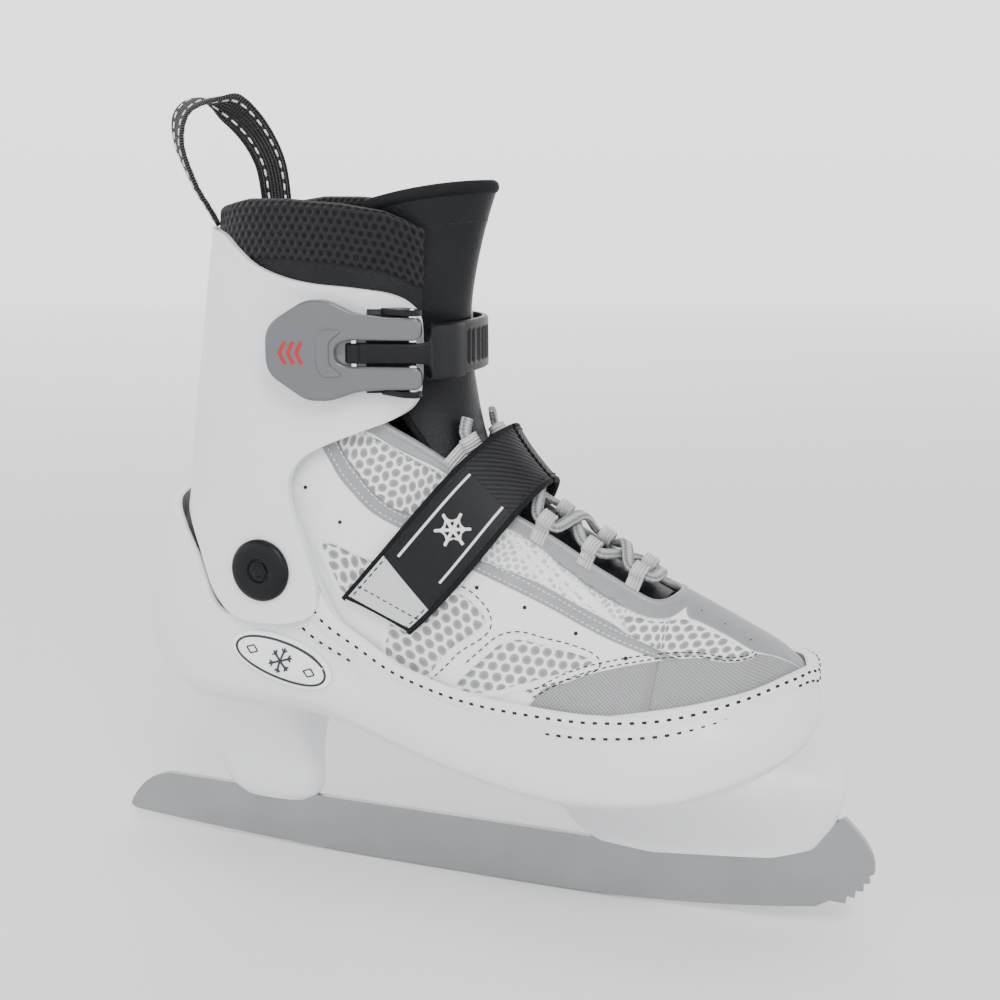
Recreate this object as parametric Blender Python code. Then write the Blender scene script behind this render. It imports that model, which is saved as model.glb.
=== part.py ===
"""Right-foot recreational ice skate, modelled in metres.

+X points to the toe, +Y to the inner side of the foot, +Z up.  The origin lies on the ice,
under the middle of the blade.  The outer side of the skate is at -Y.
Tables are in millimetres and are scaled by MM where they are read.
"""
import math

import bmesh
import bpy
import numpy as np
from mathutils import Vector

MM = 0.001
GAP = 0.3                      # clearance between touching pieces, mm

# ------------------------------------------------------------------ driving dimensions (mm)
BLADE_THICKNESS = 3.0
BLADE_TOP = 23.0
PIVOT_X, PIVOT_Z = -65.4, 127.1
CAP_RADIUS = 11.7
SHELL_WALL = 3.0
UPPER_THICKNESS = 2.4
CUFF_WALL = 2.8
BUCKLE_ANGLE = math.radians(14.1)
HINGE = (-5.3, -38.3, 209.0)   # lever hinge on the cuff
LINK_PIN_ARM = 21.0            # lever hinge to link pin
COLLAR_THICKNESS, COLLAR_FRONT = 6.0, 2.6

# Shoe last: crest x, z; opposite point x, z; outer and inner half width; middle y; skew; fullness
LAST = np.array([
    (131.0, 88.0, 131.0, 84.0, 3.0, 3.0, 5.0, 0.10, 0.95),
    (127.5, 96.5, 128.0, 75.0, 15.0, 17.0, 5.0, 0.25, 0.90),
    (119.5, 103.5, 120.0, 68.0, 27.0, 30.0, 4.0, 0.40, 0.88),
    (107.5, 110.0, 108.0, 63.0, 38.0, 38.0, 3.0, 0.48, 0.85),
    (90.0, 118.5, 90.0, 60.0, 45.0, 44.0, 2.0, 0.50, 0.85),
    (67.0, 129.5, 66.0, 58.0, 48.5, 45.0, 1.0, 0.50, 0.85),
    (46.0, 141.0, 40.0, 58.0, 47.0, 42.0, 1.0, 0.48, 0.85),
    (29.0, 152.0, 12.0, 60.0, 43.5, 39.0, 0.0, 0.42, 0.85),
    (17.0, 164.0, -18.0, 64.0, 40.0, 37.0, 0.0, 0.34, 0.85),
    (9.0, 176.0, -52.0, 70.0, 37.5, 35.5, 0.0, 0.22, 0.84),
    (4.0, 188.0, -90.0, 76.0, 36.0, 34.5, 0.0, 0.10, 0.82),
    (1.0, 199.0, -116.0, 90.0, 35.5, 34.5, 0.0, 0.00, 0.80),
    (0.0, 209.0, -121.0, 118.0, 35.5, 34.5, 0.0, 0.00, 0.80),
    (0.0, 219.0, -114.0, 148.0, 35.5, 34.5, 0.0, 0.00, 0.80)])

# Shell meridians from the heel round one side to the toe, mm:
# girth x, outer y, inner y, girth z | bottom z, bottom inset | shoulder z, shoulder inset
SHELL_BODY = np.array([
    (-135.0, 0.0, 0.0, 100.0, 70.0, 15.0, 126.0, 2.5),
    (-128.0, -22.0, 21.0, 100.0, 70.0, 13.0, 126.0, 2.5),
    (-113.0, -34.5, 33.0, 99.0, 70.0, 11.0, 123.0, 1.2),
    (-97.0, -39.5, 37.5, 97.0, 70.0, 10.0, 115.0, 0.3),
    (-86.0, -40.8, 39.0, 94.0, 70.0, 10.0, 102.0, 0.2),
    (-76.5, -41.2, 39.5, 92.0, 70.0, 10.0, 101.0, 2.0),
    (-65.0, -41.5, 39.8, 91.0, 70.0, 10.0, 102.5, 3.0),
    (-52.0, -41.8, 40.0, 89.0, 70.0, 10.0, 102.5, 4.1),
    (-38.0, -42.2, 40.2, 84.0, 67.5, 9.5, 99.0, 4.9),
    (-18.0, -43.8, 40.8, 77.0, 62.5, 9.0, 86.0, 0.8),
    (14.0, -47.5, 42.8, 67.5, 56.0, 8.0, 76.0, 0.8),
    (52.0, -51.5, 47.2, 62.0, 52.5, 7.5, 73.0, 0.8),
    (88.0, -49.5, 49.5, 63.5, 55.5, 7.5, 76.0, 1.2),
    (113.0, -38.0, 43.5, 70.5, 61.5, 8.0, 82.0, 1.2),
    (129.0, -19.5, 27.0, 77.5, 66.5, 9.0, 88.0, 1.0),
    (135.0, 4.5, 4.5, 81.0, 69.0, 9.5, 90.5, 0.8)])
# Rim of the shell: x, outer y, inner y, z round the heel and ankle, then s, phi on the last
RIM_HEEL = [(-123.5, 0.0, 0.0, 147.0), (-117.5, -18.0, 17.5, 145.5), (-107.5, -31.0, 30.0, 140.0),
            (-96.0, -38.3, 37.0, 128.0), (-86.5, -40.2, 38.6, 110.0), (-77.0, -38.6, 37.0, 112.0),
            (-67.0, -38.6, 37.6, 146.0), (-53.5, -39.3, 38.3, 146.0)]
RIM_LAST = [(9.70, 1.70), (8.60, 2.02), (7.25, 2.10), (5.65, 1.91), (4.10, 1.61), (2.75, 1.30),
            (1.55, 0.85), (0.90, 0.0)]
RIM_LIFT = 4.0                 # rim of the shell above the last


# ------------------------------------------------------------------ numbers
def catmull(table, place):
    """Row of a table at a fractional index, smooth through every row."""
    last_row = len(table) - 1
    place = min(max(place, 0.0), last_row - 1e-9)
    i = int(place)
    t = place - i
    p0, p1, p2, p3 = table[max(i - 1, 0)], table[i], table[i + 1], table[min(i + 2, last_row)]
    return 0.5 * (2 * p1 + (p2 - p0) * t + (2 * p0 - 5 * p1 + 4 * p2 - p3) * t ** 2
                  + (3 * p1 - p0 - 3 * p2 + p3) * t ** 3)


def smooth_path(points, count, closed=False):
    """Points of a smooth curve through the given points."""
    rows = np.array(points, dtype=float)
    if closed:
        rows = np.vstack([rows[-1], rows, rows[0], rows[1]])
        places = 1 + np.arange(count) / count * len(points)
    else:
        places = np.linspace(0, len(rows) - 1, count)
    return np.array([catmull(rows, p) for p in places])


def even_path(points, count):
    """The same path with its points evenly spaced."""
    steps = np.linalg.norm(np.diff(points, axis=0), axis=1)
    run = np.concatenate([[0.0], np.cumsum(steps)])
    wanted = np.linspace(0.0, run[-1], count)
    return np.stack([np.interp(wanted, run, points[:, k]) for k in range(3)], axis=1)


def lerp(a, b, t):
    return a + (b - a) * t


def signed_power(value, power):
    return math.copysign(abs(value) ** power, value)


# ------------------------------------------------------------------ reference surfaces
def last_point(s, phi, lift=0.0):
    """Point on the shoe last; s runs from toe to ankle, phi from crest (0) to sole (+-pi)."""
    def at(s_, phi_):
        tx, tz, bx, bz, outer, inner, mid, skew, full = catmull(LAST, s_)
        a = abs(phi_)
        h = (1 - math.cos(a)) / 2
        breadth = max(math.sin(a - skew * math.sin(a)), 0.0) ** full
        half = outer if phi_ < 0 else inner
        return np.array([lerp(tx, bx, h), mid + math.copysign(half * breadth, phi_), lerp(tz, bz, h)])
    point = at(s, phi)
    if lift:
        step = 0.02
        along = at(s + step, phi) - at(s - step, phi)
        across = at(s, phi + step) - at(s, phi - step)
        normal = np.cross(across, along)
        point = point + normal / np.linalg.norm(normal) * lift
    return point


def shell_table():
    """Body and rim columns of every meridian in one table."""
    rims = [list(row) for row in RIM_HEEL]
    for s, phi in RIM_LAST:
        outer = last_point(s, -phi, RIM_LIFT)
        inner = last_point(s, phi, RIM_LIFT)
        rims.append([outer[0], outer[1], inner[1], outer[2]])
    return np.hstack([SHELL_BODY, np.array(rims)])


def shell_columns(count_half):
    """Rows round the whole shell: x, y, girth z, bottom z, inset, shoulder z, inset, rim x, y, z."""
    table = shell_table()
    rows = [catmull(table, p) for p in np.linspace(0, len(table) - 1, count_half + 1)]
    outer = [(r[0], r[1], r[3], r[4], r[5], r[6], r[7], r[8], r[9], r[11]) for r in rows]
    inner = [(r[0], r[2], r[3], r[4], r[5], r[6], r[7], r[8], r[10], r[11]) for r in rows[1:-1]]
    return np.array(outer + inner[::-1])


def shell_rings(count_half, offset=0.0, levels=(0, 0.6, 1.2, 2, 2.8, 3.4, 4), floor=0.0):
    """Rings of the shell wall from bottom edge (0) to rim (4), moved inwards by offset."""
    columns = shell_columns(count_half)
    xy = columns[:, :2]
    tangent = np.roll(xy, -1, axis=0) - np.roll(xy, 1, axis=0)
    normal = np.stack([-tangent[:, 1], tangent[:, 0]], axis=1)
    normal = -normal / np.linalg.norm(normal, axis=1)[:, None]
    if np.dot(normal[0], xy[0]) < 0:
        normal = -normal
    stations = []
    for c, n in zip(columns, normal):
        x, y, z_girth, z_low, in_low, z_high, in_high, rim_x, rim_y, rim_z = c
        def spot(inset, z, slide=0.0):
            return np.array([x - n[0] * inset + slide, y - n[1] * inset, z])
        rim = np.array([rim_x - n[0] * offset, rim_y - n[1] * offset, rim_z])
        stations.append(np.array([
            spot(in_low + offset * 0.3, z_low + floor),
            spot(in_low * 0.28 + offset, lerp(z_low, z_girth, 0.35) + floor * 0.3),
            spot(offset, z_girth),
            spot(in_high + offset, z_high, 0.35 * (rim_x - x)),
            rim]))
    return [[catmull(column, level) for column in stations] for level in levels]


def cuff_point(psi, z, inset=0.0):
    """Outer face of the cuff at height z; psi is 0 at the front, pi at the back."""
    levels = [100, 127, 150, 175, 190, 209, 230, 250, 270]
    rear = np.interp(z, levels, [53, 53, 51.5, 48, 45.7, 42.5, 39.5, 37, 36]) - inset
    front = np.interp(z, levels, [60, 60, 59, 61, 63, 63, 63, 63, 64]) - inset
    half = np.interp(z, levels, [43.3, 43.3, 43, 42, 41.5, 41, 39.5, 37.5, 36]) - inset
    rear_n = np.interp(z, levels, [2.7, 2.6, 2.15, 2.2, 2.3, 2.3, 2.3, 2.3, 2.3])
    c, s = math.cos(psi), math.sin(psi)
    n = rear_n if c < 0 else np.interp(z, [127, 175], [4.2, 2.5])
    reach = rear if c < 0 else front
    return np.array([-62 + reach * signed_power(c, 2 / n), half * signed_power(s, 2 / n), z])


# ------------------------------------------------------------------ Blender helpers
def material(name, colour, roughness, metallic=0.0):
    made = bpy.data.materials.get(name)
    if made:
        return made
    made = bpy.data.materials.new(name)
    made.use_nodes = True
    shader = made.node_tree.nodes["Principled BSDF"]
    shader.inputs["Base Color"].default_value = (*colour, 1.0)
    shader.inputs["Roughness"].default_value = roughness
    shader.inputs["Metallic"].default_value = metallic
    return made


MATERIALS = {
    "white_shell": ((0.83, 0.84, 0.84), 0.38, 0.0),
    "steel": ((0.55, 0.57, 0.58), 0.32, 1.0),
    "dark_steel": ((0.30, 0.31, 0.32), 0.35, 1.0),
    "white_leather": ((0.80, 0.81, 0.82), 0.55, 0.0),
    "black_leather": ((0.015, 0.017, 0.020), 0.45, 0.0),
    "black_mesh": ((0.012, 0.013, 0.015), 0.85, 0.0),
    "black_webbing": ((0.013, 0.014, 0.016), 0.80, 0.0),
    "silver_webbing": ((0.52, 0.53, 0.54), 0.60, 0.0),
    "lace_cord": ((0.50, 0.51, 0.52), 0.75, 0.0),
    "black_plastic": ((0.010, 0.012, 0.015), 0.35, 0.0),
    "grey_gloss": ((0.24, 0.25, 0.26), 0.20, 0.1),
    "chrome": ((0.80, 0.80, 0.80), 0.12, 1.0),
    "foam": ((0.05, 0.05, 0.055), 0.90, 0.0),
    "board": ((0.55, 0.50, 0.42), 0.80, 0.0),
    "badge_white": ((0.85, 0.85, 0.86), 0.25, 0.0),
}


def finish(name, mesh, slot, origin=None, parent=None):
    """Turn a bmesh into a named object with its material and its origin in place."""
    bmesh.ops.recalc_face_normals(mesh, faces=mesh.faces)
    data = bpy.data.meshes.new(name)
    mesh.to_mesh(data)
    mesh.free()
    thing = bpy.data.objects.new(name, data)
    bpy.context.collection.objects.link(thing)
    data.materials.append(material(slot, *MATERIALS[slot]))
    data.shade_smooth()
    data.set_sharp_from_angle(angle=math.radians(35))
    if origin is not None:
        place = Vector(origin) * MM
        for vertex in data.vertices:
            vertex.co -= place
        thing.location = place
    if parent is not None:
        thing.parent = parent
        thing.matrix_parent_inverse = parent.matrix_world.inverted()
    return thing


def add_grid(mesh, grid, close_u=False, close_v=False):
    """Quads over a grid of points in mm; returns the rows of vertices."""
    rows = [[mesh.verts.new(Vector(p) * MM) for p in row] for row in grid]
    stitch(mesh, rows, close_u, close_v)
    return rows


def stitch(mesh, rows, close_u=False, close_v=False):
    count_u, count_v = len(rows), len(rows[0])
    for i in range(count_u if close_u else count_u - 1):
        for j in range(count_v if close_v else count_v - 1):
            a, b = rows[i], rows[(i + 1) % count_u]
            mesh.faces.new((a[j], b[j], b[(j + 1) % count_v], a[(j + 1) % count_v]))


def patch_solid(name, outer, inner, slot, **where):
    """Closed solid between two open grids of the same size."""
    mesh = bmesh.new()
    top = add_grid(mesh, outer)
    low = add_grid(mesh, inner)
    def border(rows):
        return rows[0] + [r[-1] for r in rows[1:]] + rows[-1][-2::-1] + [r[0] for r in rows[-2:0:-1]]
    stitch(mesh, [border(top), border(low)], close_v=True)
    return finish(name, mesh, slot, **where)


def ring_solid(name, rings, slot, **where):
    """Closed solid from rings joined in a loop, such as a tube with a wall."""
    mesh = bmesh.new()
    add_grid(mesh, rings, close_u=True, close_v=True)
    return finish(name, mesh, slot, **where)


def capped_rings(mesh, rings):
    """Closed solid from a stack of rings with a flat fan at either end."""
    rows = add_grid(mesh, rings, close_v=True)
    for row in (rows[0], rows[-1]):
        centre = mesh.verts.new(sum((v.co for v in row), Vector()) / len(row))
        for j, vertex in enumerate(row):
            mesh.faces.new((vertex, row[(j + 1) % len(row)], centre))


def stack_solid(name, rings, slot, **where):
    mesh = bmesh.new()
    capped_rings(mesh, rings)
    return finish(name, mesh, slot, **where)


def plate_mesh(outline, low, high, to_world):
    """Prism over an outline; to_world(a, b, depth) gives a point in mm."""
    mesh = bmesh.new()
    bottom = [mesh.verts.new(Vector(to_world(a, b, low)) * MM) for a, b in outline]
    top = [mesh.verts.new(Vector(to_world(a, b, high)) * MM) for a, b in outline]
    mesh.faces.new(bottom)
    mesh.faces.new(top)
    stitch(mesh, [bottom, top], close_v=True)
    mesh.normal_update()
    bmesh.ops.triangulate(mesh, faces=[f for f in mesh.faces if len(f.verts) > 4])
    return mesh


def side_prism(name, outline, y_low, y_high, slot="foam", **where):
    mesh = plate_mesh(outline, y_low, y_high, lambda a, b, depth: (a, depth, b))
    return finish(name, mesh, slot, **where)


def closed_volume(data):
    """Volume of a mesh, or 0 where it isn't closed."""
    mesh = bmesh.new()
    mesh.from_mesh(data)
    closed = mesh.faces and all(edge.is_manifold for edge in mesh.edges)
    volume = mesh.calc_volume(signed=True) if closed else 0.0
    mesh.free()
    return volume


def boolean(thing, cutter, operation="DIFFERENCE"):
    """Applied boolean; the MANIFOLD solver steps in where EXACT leaves no sound solid."""
    before, tool = closed_volume(thing.data), closed_volume(cutter.data)
    allowed = {"DIFFERENCE": (before - tool, before), "INTERSECT": (0.0, min(before, tool)),
               "UNION": (max(before, tool), before + tool)}
    low, high = allowed[operation]
    for solver in ("EXACT", "MANIFOLD"):
        cut = thing.modifiers.new("cut", "BOOLEAN")
        cut.operation = operation
        cut.object = cutter
        cut.solver = solver
        bpy.context.view_layer.update()
        graph = bpy.context.evaluated_depsgraph_get()
        data = bpy.data.meshes.new_from_object(thing.evaluated_get(graph))
        thing.modifiers.clear()
        volume = closed_volume(data)
        if volume > 0.0 and low * 0.999 <= volume <= high * 1.001:
            break
    thing.data = data
    data.shade_smooth()
    data.set_sharp_from_angle(angle=math.radians(35))
    bpy.data.objects.remove(cutter)
    return thing


def cylinder(name, centre, axis, radius, length, slot, sides=24, bevel=0.0, **where):
    """Turned round piece centred at a point; its rims are broken by a small cone."""
    axis = np.array(axis, dtype=float) / np.linalg.norm(axis)
    side = np.cross(axis, (0.0, 0.0, 1.0) if abs(axis[2]) < 0.9 else (1.0, 0.0, 0.0))
    side /= np.linalg.norm(side)
    up = np.cross(axis, side)
    steps = [(-length / 2, radius - bevel), (length / 2, radius - bevel)]
    if bevel:
        steps = [steps[0], (-length / 2 + bevel, radius), (length / 2 - bevel, radius), steps[1]]
    rings = []
    for depth, size in steps:
        turn = [2 * math.pi * k / sides for k in range(sides)]
        rings.append([np.array(centre) + axis * depth + size * (math.cos(t) * side + math.sin(t) * up)
                      for t in turn])
    return stack_solid(name, rings, slot, **where)


def ribbon_solid(name, centres, widths, width, thickness, slot, **where):
    """Flat webbing along a path; widths are unit vectors across the band."""
    centres = np.array(centres)
    tangents = np.gradient(centres, axis=0)
    rings = []
    for point, tangent, across in zip(centres, tangents, widths):
        normal = np.cross(tangent, across)
        normal /= np.linalg.norm(normal)
        a, n = np.array(across) * width / 2, normal * thickness / 2
        rings.append([point - a - n, point + a - n, point + a + n, point - a + n])
    return stack_solid(name, rings, slot, **where)


def rounded(outline, count=6, radius=2.0):
    """Outline with every corner turned into an arc-like curve of the given radius."""
    out = []
    size = len(outline)
    for i in range(size):
        before, corner, after = (np.array(outline[(i + k) % size], dtype=float) for k in (-1, 0, 1))
        r1 = min(radius, np.linalg.norm(before - corner) / 2.05)
        r2 = min(radius, np.linalg.norm(after - corner) / 2.05)
        a = corner + (before - corner) / np.linalg.norm(before - corner) * r1
        b = corner + (after - corner) / np.linalg.norm(after - corner) * r2
        for t in np.linspace(0, 1, count):
            out.append(tuple(a * (1 - t) ** 2 + corner * 2 * t * (1 - t) + b * t * t))
    return out


def empty(name, place, parent=None):
    made = bpy.data.objects.new(name, None)
    made.location = Vector(place) * MM
    bpy.context.collection.objects.link(made)
    bpy.context.view_layer.update()
    if parent is not None:
        made.parent = parent
        made.matrix_parent_inverse = parent.matrix_world.inverted()
        bpy.context.view_layer.update()
    return made


# ------------------------------------------------------------------ shell, sole and blade
def capped_shell(mesh, rows):
    """Close a ring by strips from one side of the shoe to the other."""
    size = len(rows)
    half = size // 2
    for j in range(1, half - 1):
        mesh.faces.new((rows[j], rows[j + 1], rows[size - j - 1], rows[size - j]))
    mesh.faces.new((rows[0], rows[1], rows[size - 1]))
    mesh.faces.new((rows[half], rows[half - 1], rows[half + 1]))


def make_shell():
    outer = shell_rings(SHELL_HALF)
    inner = shell_rings(SHELL_HALF, SHELL_WALL, floor=SHELL_FLOOR)
    mesh = bmesh.new()
    rows = add_grid(mesh, outer + inner[::-1], close_v=True)
    capped_shell(mesh, rows[0])
    capped_shell(mesh, rows[-1])
    return finish("shell_base", mesh, "white_shell")


SHELL_HALF = 24                # meridian steps on each side
SHELL_FLOOR = 6.0              # thickness of the sole of the shell


def inner_sole(name, low, high, inset, slot):
    """Flat layer lying on the shell's floor, between two heights above it."""
    def ring(lift):
        out = []
        for point in shell_rings(SHELL_HALF, SHELL_WALL, levels=(0,), floor=SHELL_FLOOR + lift)[0]:
            centre = np.array([min(max(point[0], -105.0), 98.0), 3.0, point[2]])
            direction = point - centre
            length = np.linalg.norm(direction)
            out.append(centre + direction * (length - inset) / length)
        return out
    mesh = bmesh.new()
    rows = add_grid(mesh, [ring(low), ring(high)], close_v=True)
    capped_shell(mesh, rows[0])
    capped_shell(mesh, rows[1])
    return finish(name, mesh, slot)


def superellipse(x_rear, x_front, half, z_of, power=2.6, count=28):
    """Ring in plan between two x positions; z_of(x) gives the height."""
    middle, reach = (x_rear + x_front) / 2, (x_front - x_rear) / 2
    ring = []
    for k in range(count):
        t = 2 * math.pi * k / count
        x = middle + reach * signed_power(math.cos(t), 2 / power)
        ring.append(np.array([x, half * signed_power(math.sin(t), 2 / power), z_of(x)]))
    return ring


HEEL_TOWER = [  # height, rear x, front x, half width
    (20.5, -99.4, -71.3, 4.6), (24.1, -104.7, -65.7, 6.6), (30.2, -108.6, -63.9, 8.8),
    (40.3, -111.6, -64.7, 12.0), (52.2, -113.8, -63.9, 17.5), (62.1, -115.7, -59.6, 23.5),
    (69.6, -118.0, -52.0, 28.0)]
FRONT_TOWER = [  # share of height, rear x, front x, half width
    (0.0, 47.0, 136.0, 4.6), (0.12, 40.0, 142.0, 7.0), (0.35, 34.0, 145.3, 14.0),
    (0.60, 30.5, 144.0, 23.0), (0.82, 28.5, 136.0, 31.0), (1.0, 27.5, 123.0, 35.0)]
FRONT_TOWER_FOOT = [(27, 38), (36, 31), (45, 26), (55, 23), (75, 22), (120, 26.5), (134, 31), (146, 41)]
TANG_TOP_HEEL, TANG_TOP_FRONT = 42.0, 36.0
BOLTS = [(-100.0, 52.0), (-72.0, 52.0), (50.0, 40.5), (76.0, 40.5)]   # x, lower end z
BOLT_RADIUS, BOLT_HEAD = 2.5, 5.0


def shell_bottom(x):
    """Height of the underside of the shell over the middle of the foot."""
    ring = shell_rings(SHELL_HALF, levels=(0,))[0][:SHELL_HALF + 1]
    return float(np.interp(x, [p[0] for p in ring], [p[2] for p in ring]))


def make_towers():
    rings = [superellipse(rear, front, half, lambda x, z=z: z) for z, rear, front, half in HEEL_TOWER]
    heel = stack_solid("heel_tower", rings, "white_shell")
    foot_x, foot_z = zip(*FRONT_TOWER_FOOT)
    rings = []
    for share, rear, front, half in FRONT_TOWER:
        def height(x, share=share):
            return lerp(np.interp(x, foot_x, foot_z), shell_bottom(x) - 0.9, share)
        rings.append(superellipse(rear, front, half, height))
    mesh = bmesh.new()
    rows = add_grid(mesh, rings, close_v=True)
    for row in (rows[0], rows[-1]):
        size = len(row)
        for j in range(size // 2 - 1):
            mesh.faces.new((row[j], row[j + 1], row[size - j - 1], row[(size - j) % size])
                           if j else (row[0], row[1], row[size - 1]))
        mesh.faces.new((row[size // 2 - 1], row[size // 2], row[size // 2 + 1]))
    front = finish("front_tower", mesh, "white_shell")
    slot = BLADE_THICKNESS / 2 + GAP
    top = BLADE_TOP + GAP
    for tower, rear, front_end, tang_rear, tang_front, tang_top in (
            (heel, -135.0, -45.0, -104.0, -68.0, TANG_TOP_HEEL + GAP),
            (front, 15.0, 170.0, 49.7, 131.9, TANG_TOP_FRONT + GAP)):
        body = [(rear, -5.0), (rear, top), (front_end, top), (front_end, -5.0)]
        tang = [(tang_rear, 20.0), (tang_rear, tang_top), (tang_front, tang_top), (tang_front, 20.0)]
        boolean(tower, side_prism("slot", body, -slot - 0.1, slot + 0.1))
        boolean(tower, side_prism("slot", tang, -slot, slot))
    nose = [(130.5, 20.0), (130.5, TANG_TOP_FRONT + 0.2), (149.0, 48.5), (170.0, 48.5), (170.0, 20.0)]
    boolean(front, side_prism("slot", nose, -slot - 0.05, slot + 0.05))
    return heel, front


def blade_outline():
    """Side view of the blade: curved running edge, toe picks, and tangs that enter the towers."""
    bottom = []
    for x in list(range(-148, -9, 12)) + [-8, 8] + list(range(16, 137, 12)):
        flat = max(abs(x) - 8.0, 0.0)
        toe = max(x - 40.0, 0.0)
        bottom.append((x, flat ** 2 / 4500 + toe ** 2 / 1700))
    picks = [(141.0, 12.2), (146.8, 12.0), (147.0, 15.0), (150.0, 14.6), (150.1, 17.6),
             (153.0, 17.6), (152.6, 20.6), (155.2, 21.0), (154.4, 23.6), (156.6, 24.8)]
    front = [(156.2, 30.0), (153.6, 35.5), (149.8, 40.2), (145.4, 44.4)]
    tangs = [(131.0, TANG_TOP_FRONT), (50.0, TANG_TOP_FRONT), (50.0, BLADE_TOP), (-68.3, BLADE_TOP),
             (-68.3, TANG_TOP_HEEL), (-103.7, TANG_TOP_HEEL), (-103.7, BLADE_TOP)]
    rear = [(-138.0, 22.8), (-145.5, 19.6), (-151.5, 14.2), (-155.5, 8.2), (-155.8, 6.2), (-153.0, 5.0)]
    return bottom + picks + front + tangs + rear


def make_blade():
    half = BLADE_THICKNESS / 2
    return side_prism("blade", blade_outline(), -half, half, "steel")


def make_bolts(shell, heel, front, board):
    """Bolts from inside the shell, through its sole, into the towers."""
    for index, (x, low) in enumerate(BOLTS, start=1):
        floor = shell_bottom(x) + SHELL_FLOOR
        tower = heel if x < 0 else front
        for thing in (shell, tower):
            middle, depth = (floor + 5 + low - GAP) / 2, floor + 5 - low + GAP
            boolean(thing, cylinder("hole", (x, 0, middle), (0, 0, 1), BOLT_RADIUS + GAP, depth, "foam",
                                    sides=16))
        boolean(board, cylinder("hole", (x, 0, floor), (0, 0, 1), BOLT_HEAD + 1.0, 30, "foam", sides=16))
        seat = floor + 0.7
        rings = []
        for z, radius in ((low, BOLT_RADIUS - 0.6), (low + 0.8, BOLT_RADIUS), (seat, BOLT_RADIUS),
                          (seat, BOLT_HEAD), (seat + 1.3, BOLT_HEAD - 0.8)):
            turn = [2 * math.pi * k / 16 for k in range(16)]
            rings.append([np.array([x + radius * math.cos(t), radius * math.sin(t), z]) for t in turn])
        stack_solid(f"sole_bolt_{index}", rings, "dark_steel", origin=(x, 0, seat))


# ------------------------------------------------------------------ upper
THROAT = [(4.3, 0.10), (4.6, 0.26), (5.2, 0.36), (6.0, 0.42), (7.0, 0.47), (8.0, 0.50), (9.0, 0.52),
          (10.2, 0.50)]
TUCK = [(0.9, 0.15), (1.55, 0.86), (2.75, 1.30), (4.10, 1.53), (5.65, 1.83), (7.25, 2.04),
        (8.60, 1.98), (9.70, 1.68), (10.3, 1.56), (11.4, 1.56)]
VAMP_END = 4.3


def patch_grid(s_of, phi_of, count_u, count_v, lift):
    grid = []
    for i in range(count_u + 1):
        u = i / count_u
        row = []
        for j in range(count_v + 1):
            v = j / count_v
            row.append(last_point(s_of(u, v), phi_of(u, v), lift))
        grid.append(row)
    return grid


def last_patch(name, s_of, phi_of, counts, low, high, slot, **where):
    outer = patch_grid(s_of, phi_of, *counts, high)
    inner = patch_grid(s_of, phi_of, *counts, low)
    return patch_solid(name, outer, inner, slot, **where)


def make_vamp():
    tuck_s, tuck_phi = zip(*TUCK)
    def s_of(u, v):
        return lerp(1.05, VAMP_END - 0.02, u)
    def phi_of(u, v):
        return np.interp(s_of(u, v), tuck_s, tuck_phi) * (2 * v - 1)
    return last_patch("vamp", s_of, phi_of, (8, 16), -UPPER_THICKNESS, 0.0, "white_leather")


def make_quarter(name, side):
    """One side of the upper, from the toe seam back under the cuff."""
    tuck_s, tuck_phi = zip(*TUCK)
    throat_s, throat_phi = zip(*THROAT)
    def s_of(u, v):
        return lerp(VAMP_END + 0.03, lerp(10.0, 11.2, min(v * 2.2, 1.0)), u)
    def phi_of(u, v):
        s = s_of(u, v)
        return side * lerp(np.interp(s, throat_s, throat_phi), np.interp(s, tuck_s, tuck_phi), v)
    return last_patch(name, s_of, phi_of, (15, 8), -UPPER_THICKNESS, 0.0, "white_leather")


def make_tongue_lower():
    def s_of(u, v):
        return lerp(4.45, 9.55, u)
    def phi_of(u, v):
        return lerp(0.30, 0.72, min(u * 3, 1.0)) * (2 * v - 1)
    return last_patch("tongue_lower", s_of, phi_of, (10, 6), -6.6, -3.2, "black_leather")


# ------------------------------------------------------------------ laces and lace loops
LOOP_ROWS = [4.95, 5.75, 6.65, 7.9, 9.15]
LOOP_LIFT = 1.6
LACE_RADIUS = 1.5


def throat_phi(s):
    stations, angles = zip(*THROAT)
    return float(np.interp(s, stations, angles))


def loop_phi(s):
    return throat_phi(s) - 0.135


def lace_route():
    """Route points of the lace: down one way through the loops, and up the other way."""
    def at_loop(row, side):
        s, phi = LOOP_ROWS[row], side * loop_phi(LOOP_ROWS[row])
        pace = np.linalg.norm(last_point(s + 0.05, phi) - last_point(s - 0.05, phi)) * 10
        return [(s + step / pace, phi, LOOP_LIFT) for step in (4.4, 0.0, -4.4)]
    def crossing(row, lift):
        return [((LOOP_ROWS[row] + LOOP_ROWS[row + 1]) / 2, 0.0, lift)]
    route = [(9.75, -0.30, 2.0)]
    for row in range(4, 0, -1):
        side = -1 if row % 2 == 0 else 1
        route += at_loop(row, side) + crossing(row - 1, 5.0)
    route += at_loop(0, -1)
    route += [(4.72, -0.10, 1.8), (4.72, 0.10, 1.8)]
    route += at_loop(0, 1)[::-1]
    for row in range(1, 5):
        side = -1 if row % 2 else 1
        route += crossing(row - 1, 0.6) + at_loop(row, side)[::-1]
    route.append((9.75, 0.30, 2.0))
    return route


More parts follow.
